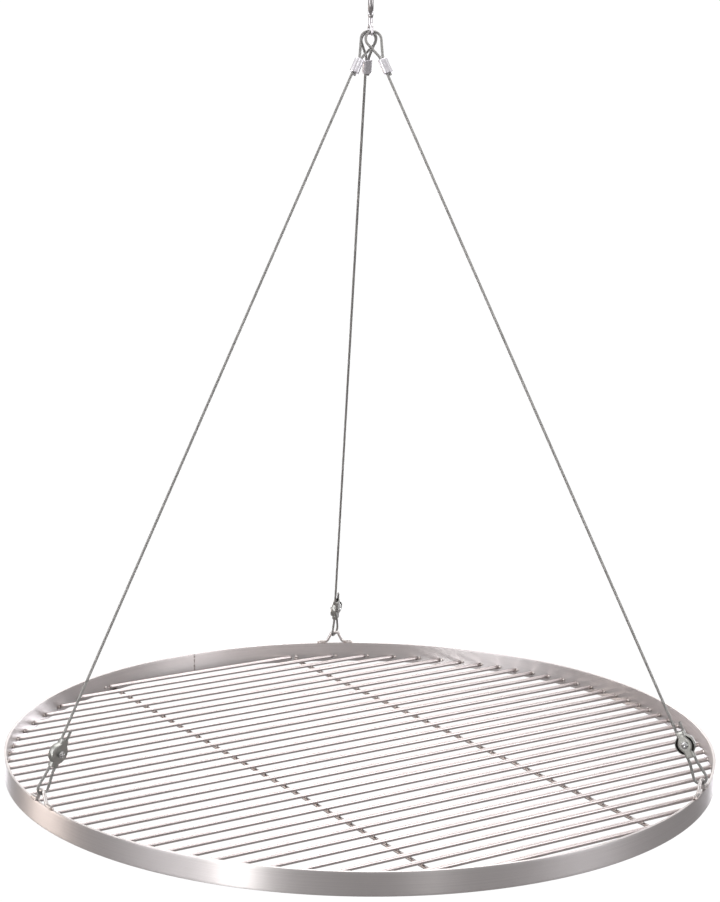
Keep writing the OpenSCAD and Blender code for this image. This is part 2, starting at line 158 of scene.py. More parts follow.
class Shader(TreeBuilder):
    """A material under construction."""

    def __init__(self, name: str) -> None:
        """Starts a material with one Principled shader.

        Args:
            name: The material's name.
        """
        self.material = bpy.data.materials.new(name)
        self.material.use_nodes = True
        super().__init__(self.material.node_tree)
        self.tree.nodes.clear()
        self.surface = self.node("ShaderNodeBsdfPrincipled")
        self.node("ShaderNodeOutputMaterial", {"Surface": self.surface.outputs[0]})
        self.place = self.node("ShaderNodeTexCoord").outputs["Object"]

    def scaled(self, scale: Sequence[float]) -> Socket:
        """Returns the place on the piece, times a scale for each axis."""
        inputs = {"Vector": self.place, "Scale": tuple(scale)}
        return self.node("ShaderNodeMapping", inputs).outputs[0]

    def noise(self, vector: Socket, scale: float, detail: float = 3.0) -> Socket:
        """Adds a Noise Texture and returns its factor.

        Args:
            vector: Where it is read.
            scale: How fine it is.
            detail: How many finer layers it has.

        Returns:
            The factor, from 0 to 1.
        """
        inputs = {"Vector": vector, "Scale": scale, "Detail": detail, "Roughness": 0.6}
        return self.node("ShaderNodeTexNoise", inputs).outputs[0]

    def attribute(self, name: str) -> Socket:
        """Returns the value of one of the mesh's own attributes."""
        return self.node("ShaderNodeAttribute", attribute_name=name).outputs["Fac"]

    def spread(self, factor: Socket, low: float, high: float) -> Socket:
        """Returns a factor from 0.3 to 0.7, as a noise gives, moved to run from low to high."""
        inputs = {"Value": factor, "From Min": 0.3, "From Max": 0.7, "To Min": low, "To Max": high}
        return self.node("ShaderNodeMapRange", inputs).outputs[0]

    def mix(self, factor: Value, first: Value, second: Value) -> Socket:
        """Mixes two colours.

        Args:
            factor: 0 for the first colour, and 1 for the second.
            first: A colour or its socket.
            second: A colour or its socket.

        Returns:
            The mixed colour.
        """
        made = self.node("ShaderNodeMix", data_type="RGBA")
        for place, value in ((0, factor), (6, first), (7, second)):
            if isinstance(value, bpy.types.NodeSocket):
                self.tree.links.new(value, made.inputs[place])
            else:
                made.inputs[place].default_value = value if place == 0 else (*value, 1.0)
        return made.outputs[2]

    def bump(self, height: Socket, depth: float, strength: float, under: Socket | None = None) -> Socket:
        """Adds a Bump node.

        Args:
            height: The height, from 0 to 1.
            depth: How deep a full step is, in metres.
            strength: How strongly it shows.
            under: The normal of a coarser bump below it.

        Returns:
            The normal.
        """
        inputs: dict[str | int, Value] = {"Height": height, "Distance": depth, "Strength": strength}
        if under is not None:
            inputs["Normal"] = under
        return self.node("ShaderNodeBump", inputs).outputs[0]

    def finish(self, **inputs: Value) -> bpy.types.Material:
        """Links or sets the shader's inputs, with _ for a space in their names, and returns the material."""
        for name, value in inputs.items():
            target = self.surface.inputs[name.replace("_", " ")]
            if isinstance(value, bpy.types.NodeSocket):
                self.tree.links.new(value, target)
            else:
                target.default_value = value
        return self.material


# ---- finishes ----


class Grain(Enum):
    """Which way a metal's drawn or brushed lines run, as the scale of the lines on each axis."""

    AROUND_Z = (5.0, 5.0, 3600.0)
    ALONG_X = (6.0, 1600.0, 1600.0)
    ALONG_Y = (1600.0, 6.0, 1600.0)
    UPRIGHT = (1200.0, 1200.0, 25.0)
    FINE = (900.0, 900.0, 900.0)


HEAT_COLOURS: tuple[tuple[float, Colour], ...] = (
    (0.0, (0.66, 0.63, 0.62)),
    (0.3, (0.74, 0.64, 0.57)),
    (0.55, (0.70, 0.52, 0.44)),
    (0.8, (0.50, 0.38, 0.36)),
    (1.0, (0.30, 0.27, 0.28)),
)


@dataclass(frozen=True)
class Metal:
    """A bare metal with drawn or brushed lines, cloudy patches and, where it was welded, heat tint.

    Attributes:
        name: The material's name.
        light: Its colour where it is clean.
        dark: Its colour in the lines and patches.
        smooth: Roughness at its shiniest.
        rough: Roughness at its dullest.
        grain: Which way the lines run.
        line_depth: How deep the lines are, in metres.
        patch: How fine the cloudy patches are, in patches to a metre.
        tinted: Whether the mesh's heat attribute colours it.
        streaked: How far its reflections smear up and down, across lines that run around Z.
    """

    name: str
    light: Colour
    dark: Colour
    smooth: float
    rough: float
    grain: Grain
    line_depth: float = 0.00004
    patch: float = 22.0
    tinted: bool = False
    streaked: float = 0.0

    def material(self) -> bpy.types.Material:
        """Builds the material."""
        made = Shader(self.name)
        lines = made.noise(made.scaled(self.grain.value), 1.0, 4.0)
        patches = made.noise(made.place, self.patch, 3.0)
        blend = made.math("MULTIPLY", made.spread(lines, 0.0, 1.0), made.spread(patches, 0.4, 1.0))
        colour = made.mix(blend, self.dark, self.light)
        roughness = made.spread(lines, self.rough, self.smooth)
        if self.tinted:
            heat = made.attribute("heat")
            speckle = made.spread(made.noise(made.scaled((60.0, 60.0, 320.0)), 1.0, 5.0), -0.6, 0.6)
            warm = made.math("ADD", heat, made.math("MULTIPLY", speckle, heat))
            share = made.node("ShaderNodeClamp", {"Value": made.math("MULTIPLY", warm, 1.6)}).outputs[0]
            colour = made.mix(share, colour, made.ramp(warm, HEAT_COLOURS))
        normal = made.bump(lines, self.line_depth, 0.6)
        dents = made.noise(made.place, 3.0 * self.patch, 2.0)
        normal = made.bump(dents, 2.0 * self.line_depth, 0.3, normal)
        if self.streaked:
            around = made.node("ShaderNodeTangent", direction_type="RADIAL", axis="Z").outputs[0]
            made.finish(Anisotropic=self.streaked, Anisotropic_Rotation=0.25, Tangent=around)
        return made.finish(Base_Color=colour, Metallic=1.0, Roughness=roughness, Normal=normal)


@dataclass(frozen=True)
class WireRope:
    """Twisted strands of thin wires, with a painted highlight on the strands' backs and on each wire's top,
    painted shade in the valleys between them, and patches of grime.

    Attributes:
        name: The material's name.
        light: The colour of the strands' backs, a painted highlight.
        dark: The colour of the valleys between them, a painted shade.
        wires: Wires side by side around the whole rope.
        lay: Length in which the strands go once round, in metres.
    """

    name: str
    light: Colour
    dark: Colour
    wires: int = 36
    lay: float = 0.019

    def material(self) -> bpy.types.Material:
        """Builds the material."""
        made = Shader(self.name)
        along = made.math("DIVIDE", made.attribute("along"), self.lay)
        turn = made.math("ADD", made.attribute("around"), along)
        wave = made.math("SINE", made.math("MULTIPLY", turn, 2.0 * math.pi * self.wires))
        wire = made.math("MULTIPLY_ADD", wave, 0.5, 0.5)
        grime = made.spread(made.noise(made.place, 60.0, 4.0), 0.7, 1.0)
        # Painted shade and highlight: darker in the valleys between the strands and on each wire's sides,
        # lighter on the strands' backs and the wires' tops; the grime adds darker patches of its own.
        crown = made.math("MULTIPLY", made.attribute("crown"), grime)
        painted_shade_and_grime = made.math("MULTIPLY", crown, made.math("MULTIPLY_ADD", wire, 0.45, 0.55))
        colour = made.mix(painted_shade_and_grime, self.dark, self.light)
        roughness = made.spread(grime, 0.5, 0.36)
        normal = made.bump(wire, 0.00006, 0.7)
        return made.finish(Base_Color=colour, Metallic=1.0, Roughness=roughness, Normal=normal)


@dataclass(frozen=True)
class WeldBead:
    """The skin of a weld bead: rippled, straw to brown, with bright spatter.

    Attributes:
        name: The material's name.
        bright: The colour of the clean ripples.
        burnt: The colour of the scale.
    """

    name: str
    bright: Colour
    burnt: Colour

    def material(self) -> bpy.types.Material:
        """Builds the material."""
        made = Shader(self.name)
        ripple = made.noise(made.place, 900.0, 3.0)
        scale = made.spread(made.noise(made.place, 260.0, 4.0), 0.0, 1.0)
        colour = made.mix(scale, self.burnt, self.bright)
        roughness = made.spread(ripple, 0.25, 0.5)
        normal = made.bump(ripple, 0.0003, 0.6)
        return made.finish(Base_Color=colour, Metallic=1.0, Roughness=roughness, Normal=normal)


HOOP_STEEL = Metal("hoop_steel", (0.68, 0.65, 0.64), (0.54, 0.51, 0.505), 0.34, 0.48,
                   Grain.AROUND_Z, 0.00002, 9.0, tinted=True, streaked=0.75)
ROD_STEEL = Metal("rod_steel", (0.72, 0.66, 0.65), (0.50, 0.45, 0.44), 0.24, 0.40,
                  Grain.ALONG_X, 0.00003, tinted=True)
# The cross rods' steel is a darker copy of the rod steel: painted shade under the grill rods.
SHADED_CROSS_STEEL = Metal("cross_rod_steel_in_shade", (0.52, 0.48, 0.47), (0.34, 0.31, 0.30), 0.26, 0.42,
                    Grain.ALONG_Y, 0.00003, tinted=True)
BAIL_STEEL = Metal("bail_steel", (0.70, 0.67, 0.65), (0.45, 0.42, 0.41), 0.22, 0.38,
                   Grain.FINE, 0.00003, 60.0, tinted=True)
CLIP_STEEL = Metal("clip_steel", (0.46, 0.46, 0.43), (0.27, 0.27, 0.255), 0.26, 0.42,
                   Grain.FINE, 0.00003, 120.0)
FASTENER_STEEL = Metal("fastener_steel", (0.66, 0.66, 0.65), (0.40, 0.40, 0.40), 0.18, 0.34,
                       Grain.FINE, 0.00004, 250.0)
FERRULE_ALLOY = Metal("ferrule_alloy", (0.86, 0.85, 0.87), (0.56, 0.54, 0.57), 0.34, 0.50,
                      Grain.UPRIGHT, 0.00006, 150.0)
HOOK_STEEL = Metal("hook_steel", (0.50, 0.485, 0.485), (0.34, 0.325, 0.325), 0.26, 0.38,
                   Grain.FINE, 0.00002, 90.0)
GATE_STEEL = Metal("gate_steel", (0.70, 0.69, 0.70), (0.50, 0.49, 0.50), 0.14, 0.26,
                   Grain.UPRIGHT, 0.00002, 90.0)
PIN_STEEL = Metal("pin_steel", (0.50, 0.49, 0.48), (0.32, 0.31, 0.30), 0.25, 0.40,
                  Grain.FINE, 0.00002, 200.0)
SPRING_STEEL = Metal("spring_steel", (0.40, 0.39, 0.38), (0.22, 0.21, 0.20), 0.25, 0.40,
                     Grain.FINE, 0.00002, 200.0)
SWIVEL_STEEL = Metal("swivel_steel", (0.84, 0.82, 0.84), (0.62, 0.59, 0.61), 0.12, 0.24,
                     Grain.FINE, 0.00002, 140.0)
# The rope's near-black colour is painted shade for the valleys between its strands.
ROPE_STEEL = WireRope("rope_steel", (0.50, 0.49, 0.475), (0.10, 0.10, 0.095))
WELD_STEEL = WeldBead("weld_steel", (0.80, 0.76, 0.74), (0.30, 0.24, 0.21))
SEAM_STEEL = WeldBead("seam_steel", (0.46, 0.42, 0.40), (0.14, 0.12, 0.11))


# ---- geometry recipes ----


class Recipe(TreeBuilder):
    """A Geometry Nodes tree with named inputs for its sizes."""

    def __init__(self, name: str) -> None:
        """Starts a tree that takes and gives one geometry.

        Args:
            name: The tree's name.
        """
        super().__init__(bpy.data.node_groups.new(name, "GeometryNodeTree"))
        self.sockets: dict[str, str] = {}
        for way in ("INPUT", "OUTPUT"):
            self.tree.interface.new_socket("Geometry", in_out=way, socket_type="NodeSocketGeometry")
        self.group = self.node("NodeGroupInput")

    def input(self, name: str, kind: str = "Float") -> Socket:
        """Adds a named input.

        Args:
            name: What it is called.
            kind: Float, Int, Vector or Material.

        Returns:
            Its socket inside the tree.
        """
        made = self.tree.interface.new_socket(name, in_out="INPUT", socket_type=f"NodeSocket{kind}")
        self.sockets[name] = made.identifier
        return self.group.outputs[name]

    def store(self, geometry: Socket, name: str, value: Socket) -> Socket:
        """Stores a number on every point of a geometry, and returns the geometry."""
        inputs = {"Geometry": geometry, "Name": name, "Value": value}
        return self.node("GeometryNodeStoreNamedAttribute", inputs, data_type="FLOAT").outputs[0]

    def smooth(self, geometry: Socket, chosen: Value = True) -> Socket:
        """Shades a geometry's chosen faces smooth, and returns the geometry."""
        inputs = {0: geometry, "Selection": chosen, "Shade Smooth": True}
        return self.node("GeometryNodeSetShadeSmooth", inputs).outputs[0]

    def close(self, geometry: Socket) -> None:
        """Ends the tree in Realize Instances and Set Material."""
        real = self.node("GeometryNodeRealizeInstances", {0: geometry}).outputs[0]
        inputs = {"Geometry": real, "Material": self.input("Material", "Material")}
        done = self.node("GeometryNodeSetMaterial", inputs).outputs[0]
        self.node("NodeGroupOutput", {0: done})

    def grow(self, name: str, base: bpy.types.Mesh, **values: Value) -> bpy.types.Object:
        """Runs the tree on a mesh and keeps the result as a plain mesh.

        Args:
            name: The finished piece's name.
            base: What the tree starts from.
            values: Its inputs, with _ for a space in their names.

        Returns:
            The finished piece, at the origin.
        """
        scaffold = linked(name + "_base", base)
        modifier = scaffold.modifiers.new("recipe", "NODES")
        modifier.node_group = self.tree
        for key, value in values.items():
            modifier[self.sockets[key.replace("_", " ")]] = value
        seen = scaffold.evaluated_get(bpy.context.evaluated_depsgraph_get())
        mesh = bpy.data.meshes.new_from_object(seen)
        scaffold.modifiers.remove(modifier)
        bpy.data.objects.remove(scaffold)
        mesh.name = name
        return linked(name, mesh)


def rope_recipe() -> Recipe:
    """Sweeps six twisted strands along a line, as one closed tube."""
    made = Recipe("twisted_rope")
    radius, lay, step = made.input("Radius"), made.input("Lay"), made.input("Step")
    strands = 6
    sector = 2.0 * math.pi / strands
    points_each = 6
    strand_reach, strand_size = 2.0 / 3.0, 0.342
    circle = made.node("GeometryNodeCurvePrimitiveCircle", {
        "Resolution": strands * points_each, "Radius": 1.0})
    part = made.node("GeometryNodeSplineParameter").outputs["Factor"]
    turn = made.math("MULTIPLY", part, 2.0 * math.pi)
    inside = made.math("FLOORED_MODULO", turn, sector)
    lean = made.math("SUBTRACT", inside, 0.5 * sector)
    reach = made.math("MULTIPLY", radius, strand_reach)
    strand = made.math("MULTIPLY", radius, strand_size)
    side = made.math("MULTIPLY", reach, made.math("SINE", lean))
    room = made.math("SUBTRACT", made.math("POWER", strand, 2.0), made.math("POWER", side, 2.0))
    bulge = made.math("SQRT", made.math("MAXIMUM", room, 0.0))
    out = made.math("ADD", made.math("MULTIPLY", reach, made.math("COSINE", lean)), bulge)
    place = made.combine(
        made.math("MULTIPLY", out, made.math("COSINE", turn)),
        made.math("MULTIPLY", out, made.math("SINE", turn)), 0.0)
    shape = made.store(circle.outputs[0], "around", part)
    # crown: how high each point of the profile stands on its strand, which the rope's material turns into
    # painted shade in the valleys and a painted highlight on the backs.
    shape = made.store(shape, "crown", made.math("DIVIDE", bulge, strand))
    shape = made.node("GeometryNodeSetPosition", {"Geometry": shape, "Position": place}).outputs[0]
    line = made.node("GeometryNodeMeshToCurve", {0: made.group.outputs[0]}).outputs[0]
    line = made.node("GeometryNodeResampleCurve", {"Curve": line, "Length": step}, mode="LENGTH").outputs[0]
    far = made.node("GeometryNodeSplineParameter").outputs["Length"]
    line = made.store(line, "along", far)
    tilt = made.math("MULTIPLY", made.math("DIVIDE", far, lay), 2.0 * math.pi)
    line = made.node("GeometryNodeSetCurveTilt", {"Curve": line, "Tilt": tilt}).outputs[0]
    tube = made.node("GeometryNodeCurveToMesh", {"Curve": line, "Profile Curve": shape, "Fill Caps": True})
    made.close(made.smooth(tube.outputs[0]))
    return made


def rod_recipe() -> Recipe:
    """Sweeps a plain round rod along a line."""
    made = Recipe("bent_rod")
    radius, step = made.input("Radius"), made.input("Step")
    circle = made.node("GeometryNodeCurvePrimitiveCircle", {"Resolution": 28, "Radius": radius})
    line = made.node("GeometryNodeMeshToCurve", {0: made.group.outputs[0]}).outputs[0]
    line = made.node("GeometryNodeResampleCurve", {"Curve": line, "Length": step}, mode="LENGTH").outputs[0]
    tube = made.node("GeometryNodeCurveToMesh", {"Curve": line, "Profile Curve": circle.outputs[0],
                                                 "Fill Caps": True})
    made.close(made.smooth(tube.outputs[0]))
    return made


def grid_recipe() -> Recipe:
    """Lays straight rods side by side across a circle, each as long as its chord."""
    made = Recipe("rods_across_a_hoop")
    count, pitch = made.input("Count", "Int"), made.input("Pitch")
    shift, height = made.input("Shift"), made.input("Height")
    radius, reach, turn = made.input("Radius"), made.input("Reach"), made.input("Turn")
    half_row = made.math("MULTIPLY", made.math("SUBTRACT", count, 1.0), made.math("MULTIPLY", pitch, 0.5))
    first = made.math("SUBTRACT", shift, half_row)
    row = made.node("GeometryNodeMeshLine", {
        "Count": count, "Start Location": made.combine(0.0, first, height),
        "Offset": made.combine(0.0, pitch, 0.0)})
    across = made.node("ShaderNodeSeparateXYZ", {0: made.node("GeometryNodeInputPosition").outputs[0]})
    square = made.math("POWER", made.math("ABSOLUTE", across.outputs["Y"]), 2.0)
    half = made.math("SQRT", made.math("SUBTRACT", made.math("POWER", reach, 2.0), square))
    rod = made.node("GeometryNodeMeshCylinder", {"Vertices": 16, "Side Segments": 110,
                                                 "Radius": radius, "Depth": 2.0})
    round_rod = made.smooth(rod.outputs["Mesh"], rod.outputs["Side"])
    inputs = {"Points": row.outputs[0], "Instance": round_rod, "Rotation": (0.0, math.pi / 2.0, 0.0),
              "Scale": made.combine(1.0, 1.0, half)}
    laid = made.node("GeometryNodeInstanceOnPoints", inputs).outputs[0]
    rotation = made.combine(0.0, 0.0, turn)
    made.close(made.node("GeometryNodeTransform", {"Geometry": laid, "Rotation": rotation}).outputs[0])
    return made


def bead_recipe() -> Recipe:
    """Puts a lumpy bead of weld metal on every point of a mesh."""
    made = Recipe("weld_beads")
    size, stretch, lumps = made.input("Size"), made.input("Stretch", "Vector"), made.input("Lumps")
    seed = made.input("Seed", "Int")
    ball = made.node("GeometryNodeMeshIcoSphere", {"Radius": size, "Subdivisions": 3}).outputs[0]
    spread = {"Min": (0.8, 0.8, 0.8), "Max": (1.2, 1.2, 1.2), "Seed": seed}
    grow = made.node("FunctionNodeRandomValue", spread, data_type="FLOAT_VECTOR")
    scale = made.node("ShaderNodeVectorMath", {0: grow.outputs[0], 1: stretch}, operation="MULTIPLY")
    turned = made.node("GeometryNodeInputNamedAttribute", {"Name": "heading"}, data_type="FLOAT")
    placed = made.node("GeometryNodeInstanceOnPoints", {
        "Points": made.group.outputs[0], "Instance": ball, "Scale": scale.outputs[0],
        "Rotation": made.combine(0.0, 0.0, turned.outputs[0])}).outputs[0]
    real = made.node("GeometryNodeRealizeInstances", {0: placed}).outputs[0]
    ripple = made.node("ShaderNodeTexNoise", {
        "Vector": made.node("GeometryNodeInputPosition").outputs[0], "Scale": 420.0, "Detail": 2.0})
    push = made.math("MULTIPLY", made.math("SUBTRACT", ripple.outputs[0], 0.5), lumps)
    normal = made.node("GeometryNodeInputNormal").outputs[0]
    offset = made.node("ShaderNodeVectorMath", {0: normal, "Scale": push}, operation="SCALE").outputs[0]
    bumpy = made.node("GeometryNodeSetPosition", {"Geometry": real, "Offset": offset}).outputs[0]
    made.close(made.smooth(bumpy))
    return made


# ---- meshes ----


def linked(name: str, mesh: bpy.types.Mesh) -> bpy.types.Object:
    """Makes an object of a mesh, puts it in the scene and returns it."""
    made = bpy.data.objects.new(name, mesh)
    bpy.context.scene.collection.objects.link(made)
    return made


def mesh_of(name: str, points: Iterable[Sequence[float]], faces: Sequence[Sequence[int]] = (),
            edges: Sequence[Sequence[int]] = ()) -> bpy.types.Mesh:
    """Makes a mesh.

    Args:
        name: Its name.
        points: Its points.
        faces: The points of each face.
        edges: The points of each loose edge.

    Returns:
        The mesh.
    """
    mesh = bpy.data.meshes.new(name)
    mesh.from_pydata([tuple(p) for p in points], [tuple(e) for e in edges], [tuple(f) for f in faces])
    mesh.update()
    return mesh


def line_of(name: str, points: Sequence[Vector]) -> bpy.types.Mesh:
    """Makes a mesh of one open line through points."""
    return mesh_of(name, points, edges=[(i, i + 1) for i in range(len(points) - 1)])


def set_values(mesh: bpy.types.Mesh, name: str, values: Sequence[float]) -> None:
    """Stores a number on every point of a mesh."""
    mesh.attributes.new(name, "FLOAT", "POINT").data.foreach_set("value", list(values))


def close_up(mesh: bpy.types.Mesh) -> None:
    """Merges a mesh's doubles and turns its faces outwards."""
    work = bmesh.new()
    work.from_mesh(mesh)
    bmesh.ops.remove_doubles(work, verts=work.verts, dist=1e-7)
    bmesh.ops.recalc_face_normals(work, faces=work.faces)
    work.to_mesh(mesh)
    work.free()


def loft(name: str, rings: Sequence[Sequence[Vector]], looped: bool = False) -> bpy.types.Mesh:
    """Joins rings of points, all with as many, into a closed skin.

    Args:
        name: The mesh's name.
        rings: The rings, in order.
        looped: Whether the last ring joins the first. If not, both ends get a cap.

    Returns:
        The mesh, its faces outwards.
    """
    n = len(rings[0])
    points = [p for ring in rings for p in ring]
    faces: list[Sequence[int]] = []
    last = len(rings) if looped else len(rings) - 1
    for r in range(last):
        low, high = r * n, (r + 1) % len(rings) * n
        faces += [(low + k, low + (k + 1) % n, high + (k + 1) % n, high + k) for k in range(n)]
    if not looped:
        faces += [tuple(range(n)), tuple(range((len(rings) - 1) * n, len(rings) * n))]
    mesh = mesh_of(name, points, faces)
    close_up(mesh)
    return mesh


def shade(piece: bpy.types.Object, angle: float = 35.0) -> None:
    """Shades a piece smooth, with sharp edges past an angle in degrees."""
    with bpy.context.temp_override(object=piece, active_object=piece, selected_objects=[piece],
                                   selected_editable_objects=[piece]):
        bpy.ops.object.shade_smooth()
    work = bmesh.new()
    work.from_mesh(piece.data)
    for edge in work.edges:
        sharp = len(edge.link_faces) == 2 and edge.calc_face_angle(0.0) > math.radians(angle)
        edge.smooth = not sharp
    work.to_mesh(piece.data)
    work.free()


def bevelled(piece: bpy.types.Object, width: float, segments: int = 2) -> None:
    """Rounds the sharp edges of a piece and keeps the result as its mesh.

    Args:
        piece: The piece.
        width: How wide the rounding is, in metres.
        segments: How many faces it has across.
    """
    bevel = piece.modifiers.new("edges", "BEVEL")
    bevel.width = width
    bevel.segments = segments
    bevel.limit_method = "ANGLE"
    bevel.angle_limit = math.radians(40.0)
    seen = piece.evaluated_get(bpy.context.evaluated_depsgraph_get())
    rounded = bpy.data.meshes.new_from_object(seen)
    piece.modifiers.remove(bevel)
    piece.data = rounded


def arc(x: float, z: float, radius: float, start: float, through: float,
        count: int) -> list[tuple[float, float]]:
    """Works out points along an arc.

    Args:
        x: Its centre.
        z: Its centre.
        radius: Its radius.
        start: The angle that it starts at, from +x towards +z.
        through: The angle that it turns through.
        count: How many points it has.

    Returns:
        The points, both ends among them.
    """
    angles = [start + through * k / (count - 1) for k in range(count)]
    return [(x + radius * math.cos(a), z + radius * math.sin(a)) for a in angles]


@dataclass(frozen=True)
class Place:
    """A place with a direction: an origin and the directions of its x and z.

    Attributes:
        origin: Where it is.
        x: The direction of its x.
        z: The direction of its z.
    """

    origin: Vector
    x: Vector
    z: Vector

    @property
    def y(self) -> Vector:
        """The direction of its y."""
        return self.z.cross(self.x)

    def at(self, x: float, y: float, z: float) -> Vector:
        """Returns a point of the place in the frame of the part."""
        return self.origin + x * self.x + y * self.y + z * self.z

    def matrix(self) -> Matrix:
        """Returns the matrix that puts a mesh in the place."""
        made = Matrix.Identity(4)
        for column, axis in enumerate((self.x, self.y, self.z, self.origin)):
            for row in range(3):
                made[row][column] = axis[row]
        return made


def square_to(v: Vector, direction: Vector) -> Vector:
    """Returns the part of v that is square to a direction, one long."""
    return (v - v.dot(direction) * direction).normalized()


def joint(name: str) -> dict:
    """Returns one of the frame's joints."""
    return next(j for j in frame["joints"] if j["name"] == name)


_materials: dict[str, bpy.types.Material] = {}


def painted(finish: Metal | WireRope | WeldBead) -> bpy.types.Material:
    """Returns a finish's material, built once."""
    if finish.name not in _materials:
        _materials[finish.name] = finish.material()
    return _materials[finish.name]


def settle(piece: bpy.types.Object, finish: Metal | WireRope | WeldBead, slot: str, body: str,
           *nodes: str) -> bpy.types.Object:
    """Gives a finished piece its finish, its body and the CAD nodes that it stands for.

    Args:
        piece: The piece.
        finish: Its finish.
        slot: The record's material slot; not used.
        body: The body that it moves with.
        nodes: The CAD nodes that it replaces.

    Returns:
        The piece.
    """
    piece.data.materials.clear()
    piece.data.materials.append(painted(finish))
    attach(piece, body)
    if nodes:
        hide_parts(*nodes)
    LOG.info("%s: %d faces on %s", piece.name, len(piece.data.polygons), body)
    return piece


# ---- the hoop and its grid ----


@dataclass(frozen=True)
class Grate:
    """The flat-bar hoop, the grid in it, and every weld between them.

    Attributes:
        segments: Faces round the hoop.
        bar_rows: Faces up the hoop's flat sides.
        edge_round: Radius of the flat bar's rounded edges.
        rods_each_side: Grill rods on each side of the middle one.
        weld_in: How far the weld beads sit in from the hoop.
        bead: Radius of a bead at a rod's end.
        spot: Radius of a bead where two rods cross.
        end_tint: Reach and strength of the hoop's heat tint at a rod's end.
        foot_tint: The same at a bail's foot.
        seam_tint: The same at the hoop's seam.
        tints: Patches of heat tint inside the hoop: the angle, the reach and the strength of each.
    """

    segments: int = 720
    bar_rows: int = 9
    edge_round: float = 0.5 * MM
    rods_each_side: int = 17
    weld_in: float = 0.9 * MM
    bead: float = 1.55 * MM
    spot: float = 1.25 * MM
    end_tint: tuple[float, float] = (6.0 * MM, 0.32)
    foot_tint: tuple[float, float] = (24.0 * MM, 0.62)
    seam_tint: tuple[float, float] = (8.0 * MM, 0.6)
    tints: tuple[tuple[float, float, float], ...] = (
        (63.0, 0.045, 0.55), (70.0, 0.030, 0.42), (77.0, 0.035, 0.38), (45.0, 0.020, 0.25),
        (10.0, 0.060, 0.42), (2.0, 0.040, 0.36), (-62.0, 0.050, 0.26), (175.0, 0.050, 0.20),
        (248.0, 0.060, 0.30))

    @property
    def outside(self) -> float:
        """The hoop's outer radius."""
        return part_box("hoop")[1].x

    @property
    def inside(self) -> float:
        """The hoop's inner radius, from the end of the middle rod, which stops just short of it."""
        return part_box("grill_rods_0")[1].x + 0.1 * MM

    @property
    def rod_z(self) -> float:
        """The height of the middle of the grill rods."""
        return 0.5 * sum(corner.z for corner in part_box("grill_rods_0"))

    @property
    def rod_r(self) -> float:
        """The radius of the grill rods."""
        return 0.5 * (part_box("grill_rods_0")[1].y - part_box("grill_rods_0")[0].y)

    @property
    def pitch(self) -> float:
        """The distance between neighbouring grill rods."""
        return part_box("grill_rods_1")[1].y - self.rod_r

    def cross_x(self, n: int) -> float:
        """The place of a cross rod."""
        return 0.5 * sum(corner.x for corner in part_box(f"cross_rod_{n}"))

    def rows(self) -> list[float]:
        """The places of the grill rods."""
        return [k * self.pitch for k in range(-self.rods_each_side, self.rods_each_side + 1)]

    def rod_ends(self) -> list[tuple[Vector, Vector, float]]:
        """Returns each rod's ends: the point on the hoop, the way out, and the rod's slant there."""
        ends = []
        for y in self.rows():
            for side in (-1.0, 1.0):
                half = math.sqrt(self.inside**2 - y * y)
                point = Vector((side * half, y, self.rod_z))
                ends.append((point, Vector((point.x, point.y, 0.0)).normalized(), half / self.inside))
        return ends

    def heat_at(self, points: Sequence[Vector], spots: Sequence[tuple[Vector, float, float]]) -> list[float]:
        """Works out how much heat tint each point has.

        Args:
            points: The points.
            spots: The middle of each weld, how far its tint reaches and how strong it is.

        Returns:
            The tint at each point, from 0 to 1.
        """
        places = np.array([tuple(p) for p in points])
        heat = np.zeros(len(places))
        for middle, reach, strength in spots:
            far = ((places - np.array(middle)) ** 2).sum(axis=1)
            heat = np.maximum(heat, strength * np.exp(-far / reach**2))
        return heat.tolist()

    def hoop(self) -> bpy.types.Object:
        """Builds the hoop as one rounded flat bar, bent into a ring."""
        low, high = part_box("hoop")[0].z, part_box("hoop")[1].z
        rise = (high - low - 2 * self.edge_round) / self.bar_rows
        bottom, top = low + self.edge_round, high - self.edge_round
        outer, inner = self.outside - self.edge_round, self.inside + self.edge_round
        steps = range(1, self.bar_rows)
        quarter = 0.5 * math.pi
        section = arc(outer, bottom, self.edge_round, -quarter, quarter, 4)
        section += [(self.outside, bottom + rise * k) for k in steps]
        section += arc(outer, top, self.edge_round, 0.0, quarter, 4)
        section += arc(inner, top, self.edge_round, quarter, quarter, 4)
        section += [(self.inside, top - rise * k) for k in steps]
        section += arc(inner, bottom, self.edge_round, 2 * quarter, quarter, 4)
        rings = []
        for k in range(self.segments):
            a = 2.0 * math.pi * k / self.segments
            rings.append([Vector((r * math.cos(a), r * math.sin(a), z)) for r, z in section])
        mesh = loft("hoop_ring", rings, looped=True)
        spots = [(point, *self.end_tint) for point, _, _ in self.rod_ends()]
        for angle, reach, strength in self.tints:
            a = math.radians(angle)
            middle = (self.inside * math.cos(a), self.inside * math.sin(a), low + 0.3 * (high - low))
            spots.append((Vector(middle), reach, strength))
        spots += [(foot, *self.foot_tint) for i in SLINGS for foot in BailSizes().feet(i)]
        spots.append((Vector((0.0, self.outside, 0.5 * (low + high))), *self.seam_tint))
        set_values(mesh, "heat", self.heat_at([v.co for v in mesh.vertices], spots))
        piece = linked("hoop_ring", mesh)
        shade(piece, 50.0)
        return settle(piece, HOOP_STEEL, "hoop_steel", "grate", "hoop")

